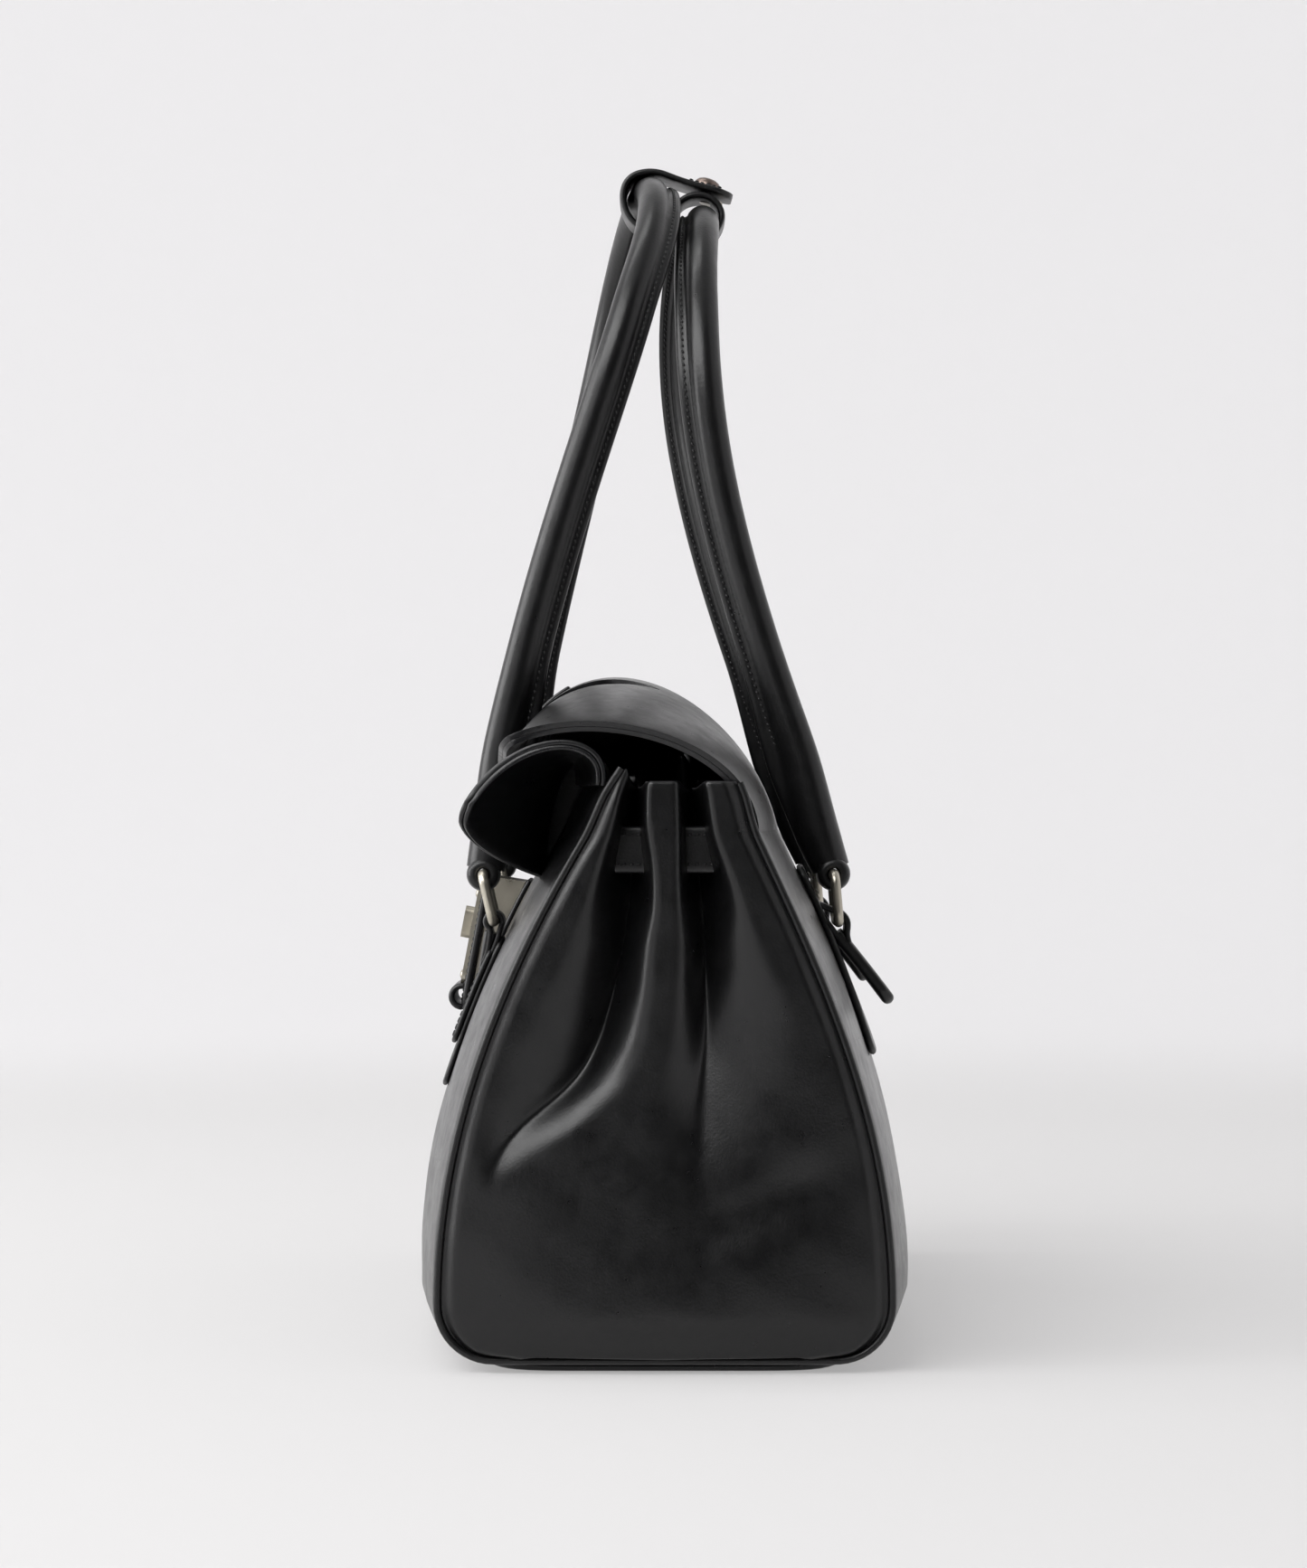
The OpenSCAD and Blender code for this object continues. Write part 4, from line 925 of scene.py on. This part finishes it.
class BAG_OT_chapes(bpy.types.Operator):
    """The leather straps that hold the rings, and the rings' finish"""
    bl_idname = "bag.chapes"
    bl_label = "Chapes and rings"

    def execute(self, context):
        sizes = context.scene.bag_sizes
        rows = []
        for e, side in ENDS:
            leg = e * LEG_X
            shape = Shape()
            strap_on(shape, -1, e, 90.0, 141.0, 1.0, 0.95)
            strap_on(shape, -1, e, 104.5, 137.5, 2.95, 0.95)
            around = low_bar(-1) + 3.0 * turned(np.radians(np.linspace(-35, 250, 14)))
            rise = skin(-1, np.array([134.0, 138.0, 141.0]), np.array([1.6, 1.6, 1.9]), LEG_X)
            fall = skin(-1, np.array([139.0, 136.0, 132.0]), np.array([4.2, 3.2, 2.9]), LEG_X)
            path = paced(eased(np.concatenate([rise, around, fall]), 2), 1.0)
            shape.sweep(xyz(leg, path), slab(14.8, 2.0), ALONG_X)
            # The filler piece sewn in below the ring.
            fill = skin(-1, np.linspace(128, 141.4, 8), np.linspace(2.2, 4.9, 8), LEG_X)
            thick = np.stack([np.ones(8), np.linspace(1.8, 4.6, 8)], -1)
            shape.sweep(xyz(leg, fill), slab(14.2, 1.0) * thick[:, None], ALONG_X)
            dress(f"front_{side}_chape", shape, PLAIN, kind="strap")
            z = np.linspace(106.5, 134, 12)
            for x in (leg - 5.6, leg + 5.6):
                line = xyz(x, skin(-1, z, 3.95 + lie(-1, x, z, PANEL_TOP), x))
                rows.append(row_on(line, (0, -0.93, 0.36), sizes))
            shape = Shape()
            strap_on(shape, 1, e, 101.2, 165.8, 1.3, 1.25)
            loop, tail = (low_bar(1) + eased(line) @ DOWN_AND_IN for line in (CHAPE_LOOP, CHAPE_TAIL))
            shape.sweep(xyz(leg, paced(loop, 1.0)), slab(14.0, 2.4), ALONG_X)
            path = paced(tail, 0.5)
            left = np.linalg.norm(path - path[-1], axis=1)[:, None]
            tip = np.maximum(round_end(left, np.array([6.0, 2.3])), BLUNT)
            shape.sweep(xyz(leg, path), slab(14.0, 4.5, 36, 4.0) * tip[:, None], ALONG_X)
            dress(f"back_{side}_chape", shape, PLAIN, kind="strap")
        stitches("chape_stitches", rows, "bag_body", sizes)
        coat("front_right_ring", "front_left_ring", "back_right_ring", "back_left_ring", "chape_rivets")
        return {"FINISHED"}


def leg_y(s, z):
    a = top_bar(s)
    d = np.array(APEX[s]) - a
    b = np.array(BOW[s])
    p = bezier(a, a + b[0] * d, a + b[1] * d, a + d, np.linspace(0, 1, 600))
    return np.interp(z, p[:, 1], p[:, 0])


def handle_line(s, start):
    """The middle line of a handle from its right ring over the arch to its left one."""
    a = top_bar(s)[1]
    rise = APEX[s][1] - a
    bend = 1 - LEG_X / rise
    q = np.radians(np.linspace(0, 90, 60))
    v = np.concatenate([np.linspace(start / rise, bend, 60)[:-1], mix(bend, 1.0, np.sin(q))])
    x = np.concatenate([np.full(59, LEG_X), LEG_X * np.cos(q)])
    z = a + rise * v
    y = leg_y(s, z)
    turn = TWIST[s] * x / LEG_X * v * v
    lean = TOP_LEAN[s] * x / LEG_X * smooth((v - 0.8) / 0.15)
    right = np.stack([x, y + turn + lean, z], -1)
    left = np.stack([-x, y - turn, z], -1)[::-1]
    return np.concatenate([right, left[1:]])


def tube_and_fin(r, reach, fin):
    """Section of a rolled handle: a tube of radius r with a sewn fin, 2 * reach wide over all."""
    a0 = math.asin((fin + 0.5) / r)
    tube = r * turned(np.linspace(a0, 2 * math.pi - a0, 30)) + (r - reach, 0)
    tip = reach - fin
    nose = fin * turned(np.linspace(-math.pi / 2, math.pi / 2, 7)) + (tip, 0)
    up = np.array([[tip - 0.6, fin], [tube[0, 0] + 0.9, fin + 0.05]])
    return np.concatenate([up, tube, up[::-1] * np.array([1, -1]), nose])


# Section of a handle's end around the ring's bar: distance along the bar, and from it.
HANDLE_LIP = (
    (-7.2, 2.1), (-7.7, 3.3), (-7.4, 4.7), (-6.1, 5.6), (-3.0, 6.0), (0, 6.1), (3.0, 6.0), (6.1, 5.6),
    (7.4, 4.7), (7.7, 3.3), (7.2, 2.1), (3.0, 1.95), (-3.0, 1.95),
)


class BAG_OT_handles(bpy.types.Operator):
    """The two rolled handles with sewn fins, cord filling and ends around the rings"""
    bl_idname = "bag.handles"
    bl_label = "Handles"

    def execute(self, context):
        sizes = context.scene.bag_sizes
        fin = sizes.fin / MM / 2
        section = tube_and_fin(sizes.tube / MM / 2, HANDLE_REACH, fin)
        stub = turned(np.arctan2(section[:, 1], section[:, 0])) * (6.3, 7.2)
        q, turn = circle(24), circle(40)[:, None]
        lip, out = eased(HANDLE_LIP, 1, True).T
        for s, body in ((-1, "front_handle"), (1, "back_handle")):
            path = paced(handle_line(s, 2.0), 4.0)
            along = lengths(path)
            end = np.minimum(along, along[-1] - along)
            sections = mix(stub, section, smooth((end - 6) / 40)[:, None, None])
            # Flatter and wider towards the ends.
            flat = smooth((86 - end) / 55) * smooth((end + 8) / 22)
            sections[..., 0] *= 1 + np.where(sections[..., 0] > 0, 0.42, 0.08) * flat[:, None]
            toward = (0, -s, 0)
            cover = Shape().sweep(path, sections, toward)
            make(f"{body}_calf", cover, ("black_calf",), body, (f"{body}_cover",))
            a, b = axes(path, toward)
            keep = end > 46
            line = path + a * 5.5
            rows = [row_on((line + b * k * (fin + 0.12))[keep], (b * k)[keep], sizes) for k in SIDES]
            stitches(f"{body}_stitches", rows, body, sizes)
            r = CORD_R * (1 + 0.07 * np.abs(np.cos(1.5 * (q + along[:, None] / CORD_LAY))))
            core = r[..., None] * turned(q) - (1.9, 0)
            inside = end > 8
            cord = Shape().sweep(path[inside], core[inside], toward)
            make(f"{body}_cord", cord, ("cotton_cord",), body, (f"{body}_core",))
            shape = Shape()
            for e in SIDES:
                ids = shape.put(xyz(e * LEG_X + lip, top_bar(s) + out[:, None] * turned(turn)))
                shape.quads(np.concatenate([ids, ids[:1]]), 0, True)
            make(f"{body}_end_calf", shape, PLAIN, body, (f"{body}_ends",))
        return {"FINISHED"}


# Lines of the keeper's leather, front to back: the strap, the end under it and the back handle's loop.
KEEPER_LINE = (
    (0.5, 404.0), (-5.0, 402.6), (-10.4, 404.4), (-13.9, 409.0), (-15.4, 414.6), (-14.6, 419.8),
    (-11.4, 423.2), (-6.3, 424.5), (-1.5, 424.1), (2.5, 422.6), (6.4, 421.1), (12.4, 419.3), (19.0, 417.7),
    (25.6, 415.5),
)
KEEPER_UNDER = ((-2.5, 403.0), (1.0, 403.9), (3.6, 407.0), (4.6, 411.0), (4.6, 414.5))
KEEPER_LOOP = (
    (4.0, 411.0), (7.6, 414.6), (12.4, 416.0), (16.9, 415.2), (20.4, 412.4), (22.0, 408.6), (21.2, 404.6),
    (18.4, 400.6), (14.0, 398.0), (9.0, 398.2), (5.2, 401.4), (3.2, 406.2),
)
KEEPER_SEAM = ((10.0, 420.1), (12.4, 419.3), (19.0, 417.7), (20.5, 417.3))
# The snap's dome: radius and height.
SNAP_DOME = ((4.9, -0.3), (5.0, 0.8), (4.7, 1.9), (3.9, 2.8), (2.6, 3.4), (1.2, 3.65), (0.05, 3.7))
SNAP_FOOT = np.array([15.8, 418.5])


class BAG_OT_keeper(bpy.types.Operator):
    """The loops on the handles' tops and the tab with its snap"""
    bl_idname = "bag.keeper"
    bl_label = "Keeper"

    def execute(self, context):
        sizes = context.scene.bag_sizes
        section = slab(KEEPER_W, KEEPER_T)
        n = np.array([math.sin(KEEPER_SLOPE), math.cos(KEEPER_SLOPE)])
        d = np.array([n[1], -n[0]])
        path = paced(eased(KEEPER_LINE), 0.8)
        w = 0.45 + 0.55 * round_end(np.linalg.norm(path - path[-1], axis=1), 8.0)
        shape = Shape().sweep(xyz(0, path), section * np.stack([w, np.ones(len(w))], -1)[:, None], ALONG_X)
        obj = make("keeper_strap_calf", shape, PLAIN, None, ("keeper_tab",))
        start = np.array([-4.6, 412.75]) + (12.0 - KEEPER_T / 2) * n
        a, b = start + 7.0 * d, start + 11.5 * d
        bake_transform(obj)
        loops = (("front", eased(KEEPER_UNDER), False), ("back", eased(KEEPER_LOOP, 2, True), True))
        for name, path, ring in loops:
            shape = Shape().sweep(xyz(0, path), section, ALONG_X, ring)
            dress(f"keeper_loop_{name}", shape, PLAIN, f"{name}_handle")
        shape = Shape()
        a = circle(32)
        r, h = np.array(SNAP_DOME).T[..., None]
        top = SNAP_FOOT + KEEPER_T / 2 * n
        ids = shape.put(xyz(r * np.cos(a), top + (r * np.sin(a))[..., None] * d + (h + 0 * a)[..., None] * n))
        shape.quads(ids, 0, True)
        shape.cap(ids[0])
        shape.cap(ids[-1])
        dress("snap_cap", shape, ("aged_bronze",), "keeper", "dome")
        seam = eased(KEEPER_SEAM, 2) + (KEEPER_T / 2 + 0.05) * n
        rows = [row_on(xyz(x, seam), (0, *n), sizes) for x in (-9.6, 9.6)]
        stitches("keeper_stitches", rows, "keeper", sizes)
        coat("snap_socket", "snap_stud")
        return {"FINISHED"}


# Name, place, aim, size and power of each lamp, in metres and watts.
LAMPS = (
    ("window", (1.1, -1.0, 1.38), (0, 0, 0.2), (2.0, 1.0), 31.0),
    ("side_window", (0.1, -1.75, 0.6), (0, 0, 0.2), (1.3, 1.1), 19.0),
    ("backdrop_light", (-0.3, -1.0, 2.8), (-3.0, -0.9, 0.7), (2.0, 1.0), 31.0),
)
# The paper's floor, the radius of its bend and the height of its wall, in metres.
FLOOR_R, BEND_R, WALL_H = 1.6, 1.6, 4.5


def sweep_paper(look):
    # Matt paper; half of what is seen of it is its own even tone, and it is open from behind.
    # The floor is a shade darker than the wall. The paper behind the camera carries painted shade: a dark
    # colour that only glossy reflections see.
    f = Finish("pale_paper")
    ray = f.node("LightPath").outputs
    seen = f.calc("MAXIMUM", ray["Is Camera Ray"], ray["Is Glossy Ray"])
    seen = f.calc("MAXIMUM", seen, ray["Is Transmission Ray"])
    across = f.calc("ABSOLUTE", f.place, kind="VectorMath", out="Vector")
    toward = f.calc("DOT_PRODUCT", f.place, (1.0, 0.85, 0.0), "VectorMath")
    aside = f.calc("DOT_PRODUCT", across, (0.0, -1.35, 0.0), "VectorMath")
    # Painted shade: towards the camera the paper takes the dark shade colour, for glossy rays only.
    behind = f.ease(0.4, 1.3, f.calc("ADD", toward, aside))
    away = f.calc("LENGTH", f.place, kind="VectorMath")
    plain = f.tone(look.floor, look.paper, f.ease(0.8, 1.7, away))
    paper = f.tone(plain, look.painted_paper_shade, f.calc("MULTIPLY", behind, ray["Is Glossy Ray"]))
    tone = f.node("Emission", {"Color": paper}).outputs[0]
    matt = f.node("BsdfDiffuse", {"Color": paper}).outputs[0]
    front = f.blend(f.calc("MULTIPLY", seen, 0.5), matt, tone)
    back = f.node("BsdfTransparent").outputs[0]
    f.close(f.blend(f.node("NewGeometry").outputs["Backfacing"], front, back))


class BAG_OT_stage(bpy.types.Operator):
    """Pale sweep, soft light from the upper left and the camera"""
    bl_idname = "bag.stage"
    bl_label = "Stage"

    def execute(self, context):
        scene = context.scene
        look = scene.bag_finish
        sweep_paper(look)
        a = np.radians(np.linspace(0, 90, 16))[1:]
        bend = zip(FLOOR_R + BEND_R * np.sin(a), BEND_R - BEND_R * np.cos(a))
        run = np.array([(0.6, 0.0), (FLOOR_R, 0.0), *bend, (FLOOR_R + BEND_R, WALL_H)]) / MM
        r, z = run.T[..., None]
        turn = circle(72)
        shape = Shape()
        ids = shape.put(np.stack([r * np.cos(turn), r * np.sin(turn), z + 0 * turn], -1))
        shape.quads(ids[::-1], 0, True)
        shape.cap(ids[0])
        mesh = shape.mesh("paper_sweep", ("pale_paper",))
        mesh.polygons.foreach_set("use_smooth", [True] * len(mesh.polygons))
        placed("paper_sweep", mesh)
        world = bpy.data.worlds.new("soft_room")
        scene.world = world
        world.use_nodes = True
        world.node_tree.nodes.clear()
        room = add(world.node_tree, "ShaderNodeBackground", {"Color": look.room, "Strength": 0.45})
        add(world.node_tree, "ShaderNodeOutputWorld", {"Surface": room.outputs[0]})
        for name, spot, aim, size, power in LAMPS:
            light = bpy.data.lights.new(name, "AREA")
            light.shape, light.size, light.size_y, light.energy = "RECTANGLE", *size, power
            lamp = placed(name, light)
            lamp.location = spot
            x, y, z = unit(np.array(aim) - np.array(spot))
            lamp.rotation_euler = (math.acos(-z), 0, math.atan2(y, x) - math.pi / 2)
        lens = bpy.data.cameras.new("camera")
        lens.lens, lens.sensor_width, lens.sensor_fit = 86.5, 36.0, "AUTO"
        camera = placed("camera", lens)
        camera.location = (1.415, -0.00375, 0.196)
        camera.rotation_euler = (math.pi / 2, 0, math.pi / 2)
        scene.camera = camera
        scene.view_settings.view_transform = "Standard"
        return {"FINISHED"}


def length(name, text, value):
    return FloatProperty(
        name=name, description=text, default=value, min=0.0, unit="LENGTH", subtype="DISTANCE"
    )


def tint(name, text, code):
    return FloatVectorProperty(
        name=name, description=text, default=linear(code), size=4, min=0.0, max=1.0, subtype="COLOR"
    )


class BagSizes(bpy.types.PropertyGroup):
    leather: length("Leather", "Thickness of the panels' leather", 0.0028)
    fold_depth: length("Fold depth", "Depth of the gussets' folds at the top", 0.033)
    piping: length("Piping", "Diameter of the piping", 0.0026)
    tube: length("Handle tube", "Diameter of the rolled part of the handles", 0.0118)
    fin: length("Handle fin", "Thickness of the handles' sewn fin", 0.0030)
    stitch_pitch: length("Stitch pitch", "Distance from stitch to stitch", 0.0024)
    stitch_length: length("Stitch length", "Length of one stitch", 0.0018)
    thread: length("Thread", "Thickness of the thread", 0.0009)
    stitch_slant: FloatProperty(
        name="Stitch slant", description="Turn of a stitch from its row", default=0.4, subtype="ANGLE"
    )


class BagFinish(bpy.types.PropertyGroup):
    leather: tint("Leather", "Colour of the black calf", "#09090a")
    leather_worn: tint("Leather, worn", "Colour of the calf where it is handled", "#0f0f10")
    edge: tint("Edge", "Colour of the painted edges", "#0d0d0f")
    thread: tint("Thread", "Colour of the thread", "#0b0b0c")
    metal: tint("Metal", "Colour of the nickel", "#cfcabd")
    metal_dull: tint("Metal, dull", "Colour of the nickel's dull patches", "#a39d8f")
    lining: tint("Lining", "Colour of the lining's warp", "#3b3733")
    lining_light: tint("Lining, light", "Colour of the lining's weft", "#55504a")
    paper: tint("Paper", "Colour of the backdrop", "#ecebec")
    floor: tint("Floor", "Colour of the floor", "#dddcdc")
    # Painted shade: the dark colour that glossy reflections see on the paper behind the camera.
    painted_paper_shade: tint("Paper, shade", "Colour of the backdrop behind the camera", "#2e2e2e")
    room: tint("Room", "Colour of the room's light", "#ffffff")


STEPS = (
    BAG_OT_panels, BAG_OT_gussets, BAG_OT_piping, BAG_OT_lining, BAG_OT_belts, BAG_OT_lapel, BAG_OT_flap,
    BAG_OT_tongue, BAG_OT_chapes, BAG_OT_handles, BAG_OT_keeper, BAG_OT_stage,
)


class BAG_PT_sidebar(bpy.types.Panel):
    """Lists the handbag's pieces"""
    bl_idname = "BAG_PT_sidebar"
    bl_label = "Handbag"
    bl_space_type = "VIEW_3D"
    bl_region_type = "UI"
    bl_category = "Handbag"

    def draw(self, context):
        for step in STEPS:
            self.layout.operator(step.bl_idname)
        for group in (context.scene.bag_sizes, context.scene.bag_finish):
            for key in group.__annotations__:
                self.layout.prop(group, key)


def register():
    for cls in (BagSizes, BagFinish, *STEPS, BAG_PT_sidebar):
        bpy.utils.register_class(cls)
    bpy.types.Scene.bag_sizes = PointerProperty(type=BagSizes)
    bpy.types.Scene.bag_finish = PointerProperty(type=BagFinish)


def unregister():
    del bpy.types.Scene.bag_finish
    del bpy.types.Scene.bag_sizes
    for cls in (BAG_PT_sidebar, *reversed(STEPS), BagFinish, BagSizes):
        bpy.utils.unregister_class(cls)


def main():
    register()
    make_finishes(bpy.context.scene.bag_finish)
    for step in STEPS:
        group, name = step.bl_idname.split(".")
        getattr(getattr(bpy.ops, group), name)()


if __name__ == "__main__":
    main()
